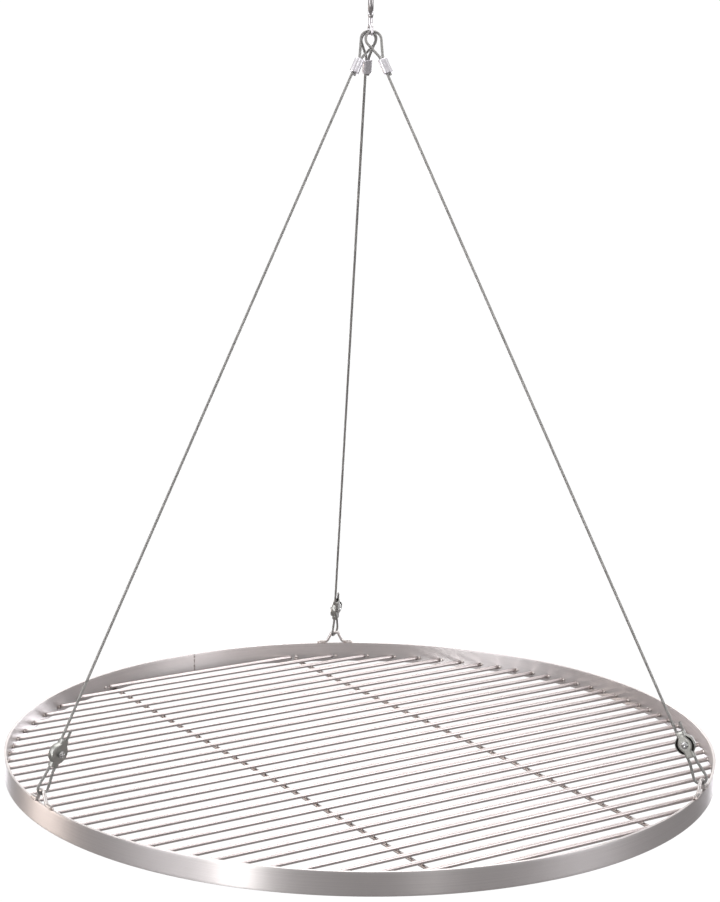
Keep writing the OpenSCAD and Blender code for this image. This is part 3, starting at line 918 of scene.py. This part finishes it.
    def rods(self) -> None:
        """Lays the grill rods and the two cross rods under them."""
        recipe = grid_recipe()
        count = 2 * self.rods_each_side + 1
        reach = self.inside - 0.1 * MM
        grill = recipe.grow("grill_rods", mesh_of("seed", [(0, 0, 0)]), Count=count, Pitch=self.pitch,
                            Shift=0.0, Height=self.rod_z, Radius=self.rod_r, Reach=reach, Turn=0.0)
        meetings = [Vector((self.cross_x(n), y, self.rod_z)) for n in (1, 2) for y in self.rows()]
        crossing = [(meeting, 6.0 * MM, 0.4) for meeting in meetings]
        ends = [(point, 8.0 * MM, 0.4) for point, _, _ in self.rod_ends()]
        set_values(grill.data, "heat", self.heat_at([v.co for v in grill.data.vertices], crossing + ends))
        names = [f"grill_rods_{k}" for k in range(self.rods_each_side + 1)]
        settle(grill, ROD_STEEL, "rod_steel", "grate", *names)
        low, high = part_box("cross_rod_1")
        middle = 0.5 * (self.cross_x(1) + self.cross_x(2))
        cross = recipe.grow("cross_rods", mesh_of("seed", [(0, 0, 0)]), Count=2,
                            Pitch=self.cross_x(2) - self.cross_x(1), Shift=-middle,
                            Height=0.5 * (low.z + high.z), Radius=0.5 * (high.z - low.z), Reach=reach,
                            Turn=0.5 * math.pi)
        set_values(cross.data, "heat", self.heat_at([v.co for v in cross.data.vertices], crossing))
        # The cross rods get the darker copy of the rod steel as painted shade under the grill rods.
        settle(cross, SHADED_CROSS_STEEL, "rod_steel", "grate", "cross_rod_1", "cross_rod_2")

    def beads(self, name: str, places: Sequence[tuple[Vector, float]], size: float,
              stretch: tuple[float, float, float], seed: int, *nodes: str,
              finish: WeldBead = WELD_STEEL) -> bpy.types.Object:
        """Puts weld beads at some places.

        Args:
            name: The piece's name.
            places: Each bead's middle, and which way its x points.
            size: The beads' radius.
            stretch: How much longer they are on each axis.
            seed: What their sizes are drawn from.
            nodes: The CAD nodes that they replace.
            finish: Their finish.

        Returns:
            The piece.
        """
        base = mesh_of(name, [place for place, _ in places])
        set_values(base, "heading", [heading for _, heading in places])
        piece = bead_recipe().grow(name, base, Size=size, Stretch=stretch, Lumps=0.5 * size, Seed=seed)
        return settle(piece, finish, "weld_steel", "grate", *nodes)

    def welds(self) -> None:
        """Builds every weld: rod ends, crossings, the hoop's seam and the bails' feet."""
        ends = []
        for point, out, slant in self.rod_ends():
            along = Vector((-out.y, out.x, 0.0))
            heading = math.atan2(out.y, out.x)
            for side in (-1.0, 1.0):
                offset = side * (0.95 * self.rod_r / max(slant, 0.35))
                ends.append((point - self.weld_in * out + offset * along + Vector((0, 0, 0.4 * MM)), heading))
        for n in (1, 2):
            x, z = self.cross_x(n), 0.5 * sum(corner.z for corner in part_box(f"cross_rod_{n}"))
            y = math.sqrt(self.inside**2 - x * x) - self.weld_in
            ends += [(Vector((x, side * y, z + 1.5 * MM)), math.atan2(side * y, x)) for side in (-1.0, 1.0)]
        self.beads("rod_end_beads", ends, self.bead, (0.75, 1.15, 1.2), 3, "rod_end_welds")
        spots = []
        for n in (1, 2):
            x, z = self.cross_x(n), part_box(f"cross_rod_{n}")[1].z
            for y in self.rows():
                if y * y + x * x < (self.inside - 10 * MM) ** 2:
                    spots += [(Vector((x + s * 1.7 * MM, y + s * 1.4 * MM, z)), 0.8) for s in (-1.0, 1.0)]
        self.beads("crossing_beads", spots, self.spot, (1.2, 0.8, 0.8), 5, "cross_rod_welds")
        low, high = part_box("hoop_seam_weld")
        middle, steps = 0.5 * (low + high), 15
        rise = (high.z - low.z) / steps
        seam = [(Vector((0.0, middle.y, low.z + rise * (k + 0.5))), 0.0) for k in range(steps)]
        self.beads("seam_beads", seam, 0.5 * (high.y - low.y), (0.8, 0.94, 0.62), 7, "hoop_seam_weld",
                   finish=SEAM_STEEL)
        feet = [bead for i in SLINGS for bead in BailSizes().bead_places(i)]
        self.beads("bail_beads", feet, 1.5 * MM, (1.35, 0.9, 0.9), 11, "bail_welds")

    def build(self) -> None:
        """Builds the hoop, its rods and its welds."""
        self.hoop()
        self.rods()
        self.welds()


@dataclass(frozen=True)
class BailSizes:
    """The bent rods that stand on the hoop's edge, one for each sling.

    Attributes:
        rod: Radius of the rod.
        slope: Slope of the legs.
        bend: Radius of the bends, to the middle of the rod.
        top: Straight length of the top bar.
        foot: Length of a foot.
        rest: Gap between a foot and the hoop's edge.
    """

    rod: float = 2.0 * MM
    slope: float = math.radians(63.0)
    bend: float = 3.5 * MM
    top: float = 4.0 * MM
    foot: float = 9.0 * MM
    rest: float = 0.1 * MM

    def place(self, i: int) -> Place:
        """The place of a bail: its origin is under its middle, in the height of its feet."""
        low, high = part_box(f"bail_{i}")
        out = Vector((low.x + high.x, low.y + high.y, 0.0)).normalized()
        up = Vector((0.0, 0.0, 1.0))
        middle = 0.5 * (Grate().outside + Grate().inside)
        origin = middle * out + (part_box("hoop")[1].z + self.rod + self.rest) * up
        return Place(origin, up.cross(out), up)

    def rise(self, i: int) -> float:
        """The height of the middle of the top bar over the middle of the feet."""
        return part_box(f"bail_{i}")[1].z - self.rod - self.place(i).origin.z

    def leg(self, i: int) -> float:
        """The straight length of a leg."""
        return (self.rise(i) - 2 * self.bend * (1 - math.cos(self.slope))) / math.sin(self.slope)

    def heel(self, i: int) -> float:
        """How far a foot starts from the middle."""
        return self.top / 2 + 2 * self.bend * math.sin(self.slope) + self.leg(i) * math.cos(self.slope)

    def feet(self, i: int) -> list[Vector]:
        """The middles of a bail's two feet."""
        far = self.heel(i) + 0.5 * self.foot
        return [self.place(i).at(side * far, 0.0, -self.rod) for side in (-1.0, 1.0)]

    def bead_places(self, i: int) -> list[tuple[Vector, float]]:
        """Where the beads lie that hold a bail's feet."""
        place, beads = self.place(i), []
        heading = math.atan2(place.x.y, place.x.x)
        for side in (-1.0, 1.0):
            for flank in (-1.0, 1.0):
                for share in (0.12, 0.42, 0.72, 0.98):
                    x = side * (self.heel(i) + share * self.foot)
                    beads.append((place.at(x, flank * 1.25 * MM, -0.75 * self.rod), heading))
        return beads

    def route(self, i: int) -> list[Vector]:
        """The line along the middle of a bail's rod."""
        rise, bend, slope, heel = self.rise(i), self.bend, self.slope, self.heel(i)
        half = [(self.top / 4, rise), (self.top / 2, rise)]
        half += arc(self.top / 2, rise - bend, bend, 0.5 * math.pi, -slope, 12)[1:]
        half += arc(heel, bend, bend, 1.5 * math.pi - slope, slope, 12)
        half += [(heel + self.foot * share, 0.0) for share in (0.5, 1.0)]
        line = [(-x, z) for x, z in reversed(half)] + half
        return [self.place(i).at(x, 0.0, z) for x, z in line]

    def build(self) -> None:
        """Builds the three bails."""
        recipe = rod_recipe()
        for i in SLINGS:
            line = line_of("route", self.route(i))
            piece = recipe.grow(f"bail_rod_{i}", line, Radius=self.rod, Step=0.4 * MM)
            shade(piece, 60.0)
            spots = [(foot, 9.0 * MM, 0.9) for foot in self.feet(i)]
            set_values(piece.data, "heat", Grate().heat_at([v.co for v in piece.data.vertices], spots))
            settle(piece, BAIL_STEEL, "bail_steel", "grate", f"bail_{i}")


# ---- the slings ----


@dataclass(frozen=True)
class Teardrop:
    """A loop of rope that opens from two ropes side by side.

    Attributes:
        half: Half the distance between the two ropes.
        crown: Radius of the loop's round end.
        lean: Lean of its sides.
        turn: Radius of the bends where the ropes part.
    """

    half: float
    crown: float
    lean: float
    turn: float

    @property
    def straight(self) -> float:
        """The straight length of each side."""
        wide = self.crown * math.cos(self.lean) - self.half - self.turn * (1 - math.cos(self.lean))
        return wide / math.sin(self.lean)

    @property
    def centre(self) -> float:
        """How far the middle of the round end is from the neck."""
        return (self.turn + self.crown) * math.sin(self.lean) + self.straight * math.cos(self.lean)

    def line(self) -> list[tuple[float, float]]:
        """The loop from the neck at +half, round the end, to the neck at -half."""
        side = [(self.half + self.turn - x, z) for x, z in arc(0, 0, self.turn, 0.0, self.lean, 9)]
        round_end = arc(0.0, self.centre, self.crown, -self.lean, math.pi + 2 * self.lean, 41)
        return side + round_end + [(-x, z) for x, z in reversed(side)]


@dataclass(frozen=True)
class Sling:
    """One wire rope from the swivel's eye to its bail, with its ferrule and its clip.

    Attributes:
        index: Which sling it is, from 1 to 3.
        rope_d: Diameter of the rope.
        lanes: Where each sling's eye lies on the swivel's bar, in ropes from its middle.
        lane_gap: Gap between neighbouring eyes.
        bar_r: Radius of the swivel's bar.
        bar_gap: Gap between the bar and the eye on it.
        touch: Gap between pieces that rest on each other.
        ferrule_len: Length of the ferrule.
        ferrule_wall: Wall of the ferrule.
        stub: Length of rope under the ferrule.
        loop_neck: Straight length between the loop and the clip.
        pitch: Distance between the two ropes in the clip.
        clip_len: Length of the clip.
        tail: Length of rope over the clip.
        lay: Length in which the strands go once round.
    """

    index: int
    rope_d: float = 3.0 * MM
    lanes: tuple[int, int, int] = (1, 0, -1)
    lane_gap: float = 0.3 * MM
    bar_r: float = 1.25 * MM
    bar_gap: float = 0.3 * MM
    touch: float = 0.1 * MM
    ferrule_len: float = 16.5 * MM
    ferrule_wall: float = 2.2 * MM
    stub: float = 3.0 * MM
    loop_neck: float = 4.0 * MM
    pitch: float = 8.0 * MM
    clip_len: float = 30.0 * MM
    tail: float = 10.0 * MM
    lay: float = 19.0 * MM

    @property
    def strand(self) -> float:
        """Half the distance between the two ropes in the ferrule."""
        return 0.5 * (self.rope_d + self.touch)

    @property
    def eye(self) -> Teardrop:
        """The top eye."""
        return Teardrop(self.strand, 8.5 * MM, math.radians(20.0), 15.0 * MM)

    @property
    def loop(self) -> Teardrop:
        """The bottom loop."""
        return Teardrop(0.5 * self.pitch, 7.0 * MM, math.radians(10.0), 15.0 * MM)

    @property
    def up(self) -> Vector:
        """The direction of the straight rope."""
        return Vector(joint(f"clip_slide_{self.index}")["axis"]).normalized()

    @property
    def clip(self) -> Place:
        """The middle of the clip: its x runs from the straight rope to the rope's end."""
        turn = joint(f"screw_turn_{self.index}")
        across = Vector(turn["axis"]).cross(self.up).normalized()
        return Place(Vector(turn["pos_m"]), across, self.up)

    @property
    def low(self) -> Place:
        """The foot of the straight rope's line, at the height of the loop's round end."""
        clip = self.clip
        depth = self.loop_neck + self.loop.centre + self.loop.crown
        return Place(clip.at(-0.5 * self.pitch, 0.0, -depth - 0.5 * self.clip_len), clip.x, self.up)

    @property
    def top(self) -> Place:
        """The head of the straight rope's line, at the height of the eye's round end."""
        swing = joint("grate_swing")
        bar = Vector(swing["axis"]).normalized()
        lane = self.lanes[self.index - 1] * (self.rope_d + self.lane_gap)
        on_bar = Vector(swing["pos_m"]) + lane * bar
        bail = BailSizes()
        on_bail = bail.place(self.index).at(0.0, 0.0, bail.rise(self.index))
        pull = (on_bail - on_bar).normalized()
        crown = on_bar - (self.bar_r + 0.5 * self.rope_d + self.bar_gap) * square_to(pull, bar)
        tangent = bail.place(self.index).x
        loop_crown = on_bail + (bail.rod + 0.5 * self.rope_d + self.touch) * square_to(pull, tangent)
        aim = (crown - loop_crown).normalized()
        side = square_to(bar, aim).cross(aim)
        return Place(crown - self.strand * side, square_to(side, self.up), self.up)

    @property
    def eye_len(self) -> float:
        """The length of the top eye, from its round end to the ferrule."""
        return self.eye.centre + self.eye.crown

    def route(self) -> list[Vector]:
        """The line along the middle of the whole rope, from its end at the ferrule to its end at the clip."""
        neck, strand = -self.eye_len, self.strand
        high = [(2 * strand, neck - self.ferrule_len - self.stub * (1 - k)) for k in (0.0, 1.0)]
        high += [(2 * strand, neck - 0.5 * self.ferrule_len)]
        high += [(strand + x, neck + z) for x, z in self.eye.line()]
        foot = self.loop.centre + self.loop.crown
        half = 0.5 * self.pitch
        deep = [(half - x, foot - z) for x, z in self.loop.line()]
        end = self.loop_neck + self.clip_len + self.tail
        deep += [(self.pitch, foot + share * end) for share in (0.3, 1.0)]
        top, low = self.top, self.low
        line = [top.at(x, 0.0, z) for x, z in high]
        head = top.at(0.0, 0.0, neck - self.ferrule_len)
        line += [head.lerp(low.at(0.0, 0.0, foot + self.clip_len), k / 12) for k in range(13)]
        return line + [low.at(x, 0.0, z) for x, z in deep]

    def rope(self) -> bpy.types.Object:
        i, route = self.index, self.route()
        piece = rope_recipe().grow(f"wire_rope_{i}", line_of("route", route), Radius=0.5 * self.rope_d,
                                   Lay=self.lay, Step=1.2 * MM)
        settle(piece, ROPE_STEEL, "rope_steel", "grate", f"rope_{i}", f"rope_eye_{i}", f"rope_loop_{i}")
        return piece

    def ferrule(self) -> bpy.types.Object:
        """Builds the ferrule: an oval sleeve, pinched between its two ropes."""
        top, rope_r = self.top, 0.5 * self.rope_d
        radius = rope_r + self.ferrule_wall
        half = [(0.0, 0.86), (0.02, 0.95), (0.05, 0.99), (0.12, 1.0),
                (0.3, 0.985), (0.34, 0.975), (0.38, 0.985)]
        stations = half + [(0.5, 1.0)] + [(1.0 - share, full) for share, full in reversed(half)]
        rings, sides = [], 64
        for share, full in stations:
            z = -self.eye_len - share * self.ferrule_len
            ring = []
            for k in range(sides):
                a = 2.0 * math.pi * k / sides
                x = math.copysign(self.strand, math.cos(a)) * min(1.0, 4.0 * abs(math.cos(a)))
                x, y = x + full * radius * math.cos(a), full * radius * math.sin(a)
                y *= 1.0 - 0.1 * math.exp(-((x / (0.9 * MM)) ** 2))
                ring.append(top.at(self.strand + x, y, z))
            rings.append(ring)
        piece = linked(f"sleeve_{self.index}", loft(f"sleeve_{self.index}", rings))
        shade(piece, 40.0)
        return settle(piece, FERRULE_ALLOY, "ferrule_alloy", "grate", f"ferrule_{self.index}")

    def build(self) -> None:
        """Builds the rope and its ferrule."""
        self.rope()
        self.ferrule()


# ---- the rope clips ----


@dataclass(frozen=True)
class Clip:
    """A rope clip: a pressed body with side walls, a plate between them, a screw and a nut.

    Attributes:
        index: Which sling it is on.
        end_w: Width of the body and the plate at their ends.
        bulge: Diameter of the body's round middle.
        plate_bulge: Diameter of the plate's round middle.
        length: Length of both.
        wall: Thickness of the body's side walls.
        sheet: Thickness of the pressed sheet.
        depth: How far a half's back stands from the middle of the ropes.
        gap: Gap between the middle of the ropes and a half's rim.
        screw_d: Diameter of the screw.
        head_h: Height of its head.
        nut_h: Height of its nut.
        proud: How far its end stands out of the nut.
        touch: Gap between pieces that rest on each other.
        shoulder: Width of the rounded edge along a half's sides.
        end_round: Length of the rounded edge at its ends.
        turned_clips: The slings whose clip sits the other way round on its ropes.
    """

    index: int
    end_w: float = 10.6 * MM
    bulge: float = 22.0 * MM
    plate_bulge: float = 17.0 * MM
    length: float = 30.0 * MM
    wall: float = 1.1 * MM
    sheet: float = 1.2 * MM
    depth: float = 3.6 * MM
    gap: float = 0.4 * MM
    screw_d: float = 4.0 * MM
    head_h: float = 2.6 * MM
    nut_h: float = 3.2 * MM
    proud: float = 1.0 * MM
    touch: float = 0.1 * MM
    shoulder: float = 2.6 * MM
    end_round: float = 1.2 * MM
    turned_clips: tuple[int, ...] = (2,)

    def half_width(self, z: float, bulge: float) -> float:
        """Half the width at a height from the middle, for a round middle of some diameter."""
        round_part = math.sqrt(max(0.0, (0.5 * bulge) ** 2 - z * z))
        return ((0.5 * self.end_w) ** 6 + round_part**6) ** (1.0 / 6.0)

    def wall_mesh(self, name: str, side: float) -> bpy.types.Mesh:
        """Builds one of the body's side walls, which runs out to nothing at both ends.

        Args:
            name: The mesh's name.
            side: Which side it is on, -1 or 1.

        Returns:
            The mesh, in the clip's own frame.
        """
        rings, reach, steps = [], 0.43 * self.length, 36
        for k in range(steps + 1):
            share = 2.0 * k / steps - 1.0
            z = reach * share
            outer = self.half_width(z, self.bulge) - 0.05 * MM
            rise = (self.depth + self.gap) * min(1.0, 2.2 * (1.0 - abs(share))) ** 0.6
            foot, crest = self.gap + 0.6 * MM, self.gap + 0.3 * MM - rise
            corner = 0.3 * MM
            section = [(outer, foot), (outer, crest + corner), (outer - corner, crest),
                       (outer - self.wall + corner, crest), (outer - self.wall, crest + corner),
                       (outer - self.wall, foot)]
            rings.append([Vector((side * x, y, z)) for x, y in section])
        return loft(name, rings)

    def half(self, name: str, flip: float, bulge: float) -> bpy.types.Mesh:
        """Builds the body's back or the plate.

        Args:
            name: The mesh's name.
            flip: -1 for the plate under the screw's head, and 1 for the body under the nut.
            bulge: Diameter of its round middle.

        Returns:
            The mesh, in the clip's own frame.
        """
        across, along = 24, 44
        outer, inner = [], []
        for r in range(along + 1):
            v = 2.0 * r / along - 1.0
            z = 0.5 * self.length * math.copysign(abs(v) ** 0.92, v)
            wide = self.half_width(z, bulge)
            for c in range(across + 1):
                u = 2.0 * c / across - 1.0
                x = wide * math.copysign(abs(u) ** 0.8, u)
                fall = max(0.0, (abs(x) - (wide - self.shoulder)) / self.shoulder)
                deep = self.gap + (self.depth - self.gap) * math.sqrt(max(0.0, 1.0 - fall**2.6))
                end = max(0.0, (abs(z) - (0.5 * self.length - self.end_round)) / self.end_round)
                deep -= 0.35 * MM * end**2
                outer.append(Vector((x, flip * deep, z)))
                shrink = max(0.0, 1.0 - self.sheet / wide)
                inner.append(Vector((x * shrink, flip * max(self.gap, deep - self.sheet), z)))
        row, count = across + 1, len(outer)
        faces = []
        for r in range(along):
            for c in range(across):
                a, b, d, e = r * row + c, r * row + c + 1, (r + 1) * row + c + 1, (r + 1) * row + c
                faces += [(a, b, d, e), (count + e, count + d, count + b, count + a)]
        rim = list(range(row)) + [r * row + across for r in range(1, along + 1)]
        rim += [along * row + c for c in range(across - 1, -1, -1)]
        rim += [r * row for r in range(along - 1, 0, -1)]
        faces += [(a, b, count + b, count + a) for a, b in zip(rim, rim[1:] + rim[:1])]
        mesh = mesh_of(name, outer + inner, faces)
        close_up(mesh)
        return mesh

    def turned(self, name: str, profile: Sequence[tuple[float, float, bool]], flip: float) -> bpy.types.Mesh:
        """Turns a profile round the screw's axis.

        Args:
            name: The mesh's name.
            profile: The radius, the distance along the axis, and whether that ring is a hexagon.
            flip: -1 where the distance runs towards the screw's head, and 1 towards its end.

        Returns:
            The mesh, in the clip's own frame.
        """
        rings, sides = [], 48
        for radius, far, hexagon in profile:
            ring = []
            for k in range(sides):
                a = 2.0 * math.pi * k / sides
                lean = (a % (math.pi / 3.0)) - math.pi / 6.0
                r = radius / math.cos(lean) if hexagon else radius
                ring.append(Vector((r * math.cos(a), flip * far, r * math.sin(a))))
            rings.append(ring)
        return loft(name, rings)

    def screw(self) -> bpy.types.Mesh:
        """Builds the screw: a domed head with a hexagon socket, and its shank."""
        head, tall, foot = self.screw_d, self.head_h, self.depth + self.touch
        rim = 0.7 * MM
        dome = [(head * math.cos(a), foot + rim + (tall - rim) * math.sin(a))
                for a in (math.radians(10.0 * k) for k in range(7))]
        shank = 0.5 * self.screw_d
        end = -(self.depth + 2.0 * self.touch + self.nut_h + self.proud)
        profile = [(1.0 * MM, foot + 1.0 * MM, True), (1.5 * MM, foot + 1.2 * MM, True),
                   (1.5 * MM, foot + tall - 0.15 * MM, True), (1.75 * MM, foot + tall, False)]
        profile += [(r, far, False) for r, far in reversed(dome)]
        profile += [(head, foot + 0.1 * MM, False), (head - 0.1 * MM, foot, False), (shank, foot, False),
                    (shank, end + 0.5 * MM, False), (shank - 0.5 * MM, end, False)]
        return self.turned("screw", profile, -1.0)

    def nut(self) -> bpy.types.Mesh:
        """Builds the nut, its corners turned off."""
        flat, tall, foot = 0.875 * self.screw_d, self.nut_h, self.depth + self.touch
        bore = 0.5 * self.screw_d + 0.05 * MM
        profile = [(bore, foot, False), (0.97 * flat, foot, False), (flat, foot + 0.25 * MM, True),
                   (flat, foot + tall - 0.25 * MM, True), (0.97 * flat, foot + tall, False),
                   (bore + 0.35 * MM, foot + tall, False), (bore, foot + tall - 0.35 * MM, False)]
        return self.turned("nut", profile, 1.0)

    def build(self) -> None:
        """Builds the clip in its place on the sling."""
        i, place = self.index, Sling(self.index).clip.matrix()
        if i in self.turned_clips:
            place = place @ Matrix.Rotation(math.pi, 4, "Z")
        parts = (
            ("plate", self.half("plate", -1.0, self.plate_bulge), CLIP_STEEL, "clip", "clip_front"),
            ("saddle", self.half("saddle", 1.0, self.bulge), CLIP_STEEL, "clip", "clip_back"),
            ("near_wall", self.wall_mesh("near_wall", -1.0), CLIP_STEEL, "clip", "clip_back"),
            ("far_wall", self.wall_mesh("far_wall", 1.0), CLIP_STEEL, "clip", "clip_back"),
            ("hex_nut", self.nut(), FASTENER_STEEL, "clip", "clip_nut"),
            ("pan_screw", self.screw(), FASTENER_STEEL, "screw", "clip_screw"),
        )
        for name, mesh, finish, body, node in parts:
            mesh.transform(place)
            mesh.name = f"{name}_{i}"
            piece = linked(f"{name}_{i}", mesh)
            bevelled(piece, 0.18 * MM)
            shade(piece, 40.0)
            settle(piece, finish, finish.name, f"{body}_{i}", f"{node}_{i}")


# ---- the hook ----


@dataclass(frozen=True)
class Hook:
    """The snap hook and its swivel, whose CAD shapes stay and only get their finishes."""

    def build(self) -> None:
        """Dresses the CAD nodes of the hook."""
        finishes = {"hook_body": HOOK_STEEL, "gate": GATE_STEEL, "gate_pin": PIN_STEEL,
                    "gate_spring": SPRING_STEEL, "swivel_eye": SWIVEL_STEEL, "swivel_rivet": SWIVEL_STEEL}
        for name, finish in finishes.items():
            node = frame["nodes"][name]
            node.data.materials.clear()
            node.data.materials.append(painted(finish))
            LOG.info("%s keeps its shape and gets %s", name, finish.name)


# ---- the studio ----


@dataclass(frozen=True)
class Camera:
    """The camera, which looks down a little at the grate from in front of it.

    Attributes:
        place: Where it stands.
        heading: The level direction that it looks in.
        pitch: How far it looks down, in degrees.
        roll: How far it leans, in degrees.
        reach: Its focal length, in heights of the image.
        sensor: Height of its sensor, in millimetres.
    """

    place: tuple[float, float, float] = (-1.2120, -1.8575, -0.1157)
    heading: tuple[float, float] = (0.5447, 0.8386)
    pitch: float = 10.31
    roll: float = 0.83
    reach: float = 2.2505
    sensor: float = 36.0

    def build(self) -> None:
        """Makes the camera."""
        data = bpy.data.cameras.new("camera")
        data.sensor_width = self.sensor
        data.lens = self.reach * self.sensor
        made = bpy.data.objects.new("camera", data)
        bpy.context.scene.collection.objects.link(made)
        bpy.context.scene.camera = made
        down, lean = math.radians(self.pitch), math.radians(self.roll)
        level = Vector((*self.heading, 0.0)).normalized()
        ahead = level * math.cos(down) - Vector((0.0, 0.0, math.sin(down)))
        right = Vector((level.y, -level.x, 0.0))
        up = right.cross(ahead)
        leant = right * math.cos(lean) + up * math.sin(lean)
        made.matrix_world = Place(Vector(self.place), leant, -ahead).matrix()


@dataclass(frozen=True)
class SoftBox:
    """One soft light.

    Attributes:
        name: Its name.
        place: Where it hangs.
        size: Its width and height.
        power: Its power, in watts.
        colour: Its colour.
    """

    name: str
    place: tuple[float, float, float]
    size: tuple[float, float]
    power: float
    colour: Colour = (1.0, 1.0, 1.0)

    def build(self, target: Vector) -> None:
        """Makes the light and turns it towards a point."""
        data = bpy.data.lights.new(self.name, "AREA")
        data.shape = "RECTANGLE"
        data.size, data.size_y = self.size
        data.energy = self.power
        data.color = self.colour
        made = bpy.data.objects.new(self.name, data)
        bpy.context.scene.collection.objects.link(made)
        made.location = self.place
        made.visible_camera = False
        made.rotation_euler = (target - Vector(self.place)).to_track_quat("-Z", "Y").to_euler()


@dataclass(frozen=True)
class Studio:
    """A pale floor under the hanging grate, soft boxes around it and a pale room.

    Attributes:
        floor_drop: How far the floor lies under the grate.
        floor_size: Width of the floor.
        room: Brightness of the room that the metal mirrors.
        sky: The room's colours, from straight down to straight up.
        white: Brightness of the room behind the grate.
    """

    floor_drop: float = 0.9
    floor_size: float = 40.0
    room: float = 1.0
    white: float = 1.05
    sky: tuple[tuple[float, Colour], ...] = (
        (0.0, (0.13, 0.125, 0.125)),
        (0.26, (0.20, 0.19, 0.19)),
        (0.38, (0.47, 0.455, 0.455)),
        (0.5, (0.58, 0.565, 0.57)),
        (1.0, (0.92, 0.91, 0.91)),
    )

    def build_room(self) -> None:
        """Makes the world: pale behind the grate, and for the metal darker towards the floor."""
        world = bpy.data.worlds.new("room")
        world.use_nodes = True
        made = TreeBuilder(world.node_tree)
        made.tree.nodes.clear()
        seen = made.node("ShaderNodeLightPath").outputs["Is Camera Ray"]
        place = made.node("ShaderNodeTexCoord").outputs["Generated"]
        height = made.node("ShaderNodeSeparateXYZ", {0: place}).outputs["Z"]
        sky = made.ramp(made.math("MULTIPLY_ADD", height, 0.5, 0.5), self.sky)
        soft = made.node("ShaderNodeBackground", {"Color": sky, "Strength": self.room})
        pale = made.node("ShaderNodeBackground", {"Color": (1.0, 1.0, 1.0, 1.0), "Strength": self.white})
        both = made.node("ShaderNodeMixShader", {0: seen, 1: soft.outputs[0], 2: pale.outputs[0]})
        made.node("ShaderNodeOutputWorld", {0: both.outputs[0]})
        bpy.context.scene.world = world

    def build_floor(self) -> None:
        """Makes the floor."""
        half, z = 0.5 * self.floor_size, CAD_BOX[0][2] - self.floor_drop
        corners = [(-half, -half, z), (half, -half, z), (half, half, z), (-half, half, z)]
        floor = linked("floor", mesh_of("floor", corners, [(0, 1, 2, 3)]))
        made = Shader("floor_paper")
        made.finish(Base_Color=(0.22, 0.215, 0.215, 1.0), Roughness=0.9)
        seen = made.node("ShaderNodeLightPath").outputs["Is Camera Ray"]
        glow = made.node("ShaderNodeEmission", {"Color": (1.0, 1.0, 1.0, 1.0), "Strength": self.white})
        share = made.math("MULTIPLY", seen, 0.97)
        both = made.node("ShaderNodeMixShader", {0: share, 1: made.surface.outputs[0], 2: glow.outputs[0]})
        made.node("ShaderNodeOutputMaterial", {"Surface": both.outputs[0]}, is_active_output=True)
        floor.data.materials.append(made.material)

    def build(self) -> None:
        """Makes the room, the floor and the lights."""
        bpy.context.scene.view_settings.view_transform = "Standard"
        self.build_room()
        self.build_floor()
        middle = Vector((0.0, 0.0, CAD_BOX[0][2]))
        boxes = (
            SoftBox("top_box", (0.2, 0.4, 1.6), (2.6, 2.6), 55.0),
            SoftBox("left_box", (-2.4, -0.2, 0.1), (1.2, 2.0), 26.0, (0.97, 0.97, 1.0)),
            SoftBox("right_box", (1.5, -2.2, 0.1), (1.2, 2.0), 22.0, (0.97, 0.97, 1.0)),
            SoftBox("back_box", (1.6, 2.4, 0.6), (2.0, 1.2), 16.0, (1.0, 0.97, 0.95)),
            SoftBox("left_rim", (0.4, 2.9, -1.25), (1.5, 0.9), 30.0, (0.95, 0.95, 1.0)),
            SoftBox("right_rim", (2.6, 1.5, -1.25), (1.5, 0.9), 30.0, (0.95, 0.95, 1.0)),
            SoftBox("left_strip", (-2.75, -1.19, -1.2), (0.3, 0.9), 16.0),
            SoftBox("warm_side", (-2.04, 2.2, -1.2), (0.9, 0.9), 12.0, (1.0, 0.88, 0.80)),
            SoftBox("right_strip", (-0.68, -2.92, -1.2), (0.2, 0.9), 2.0),
        )
        for box in boxes:
            box.build(middle)


def main() -> None:
    """Builds the whole scene and reports each piece."""
    logging.basicConfig(level=logging.INFO, format="%(message)s", stream=sys.stdout)
    Camera().build()
    Studio().build()
    for i in SLINGS:
        Sling(i).build()
    Grate().build()
    BailSizes().build()
    for i in SLINGS:
        Clip(i).build()
    Hook().build()


if __name__ == "__main__":
    main()
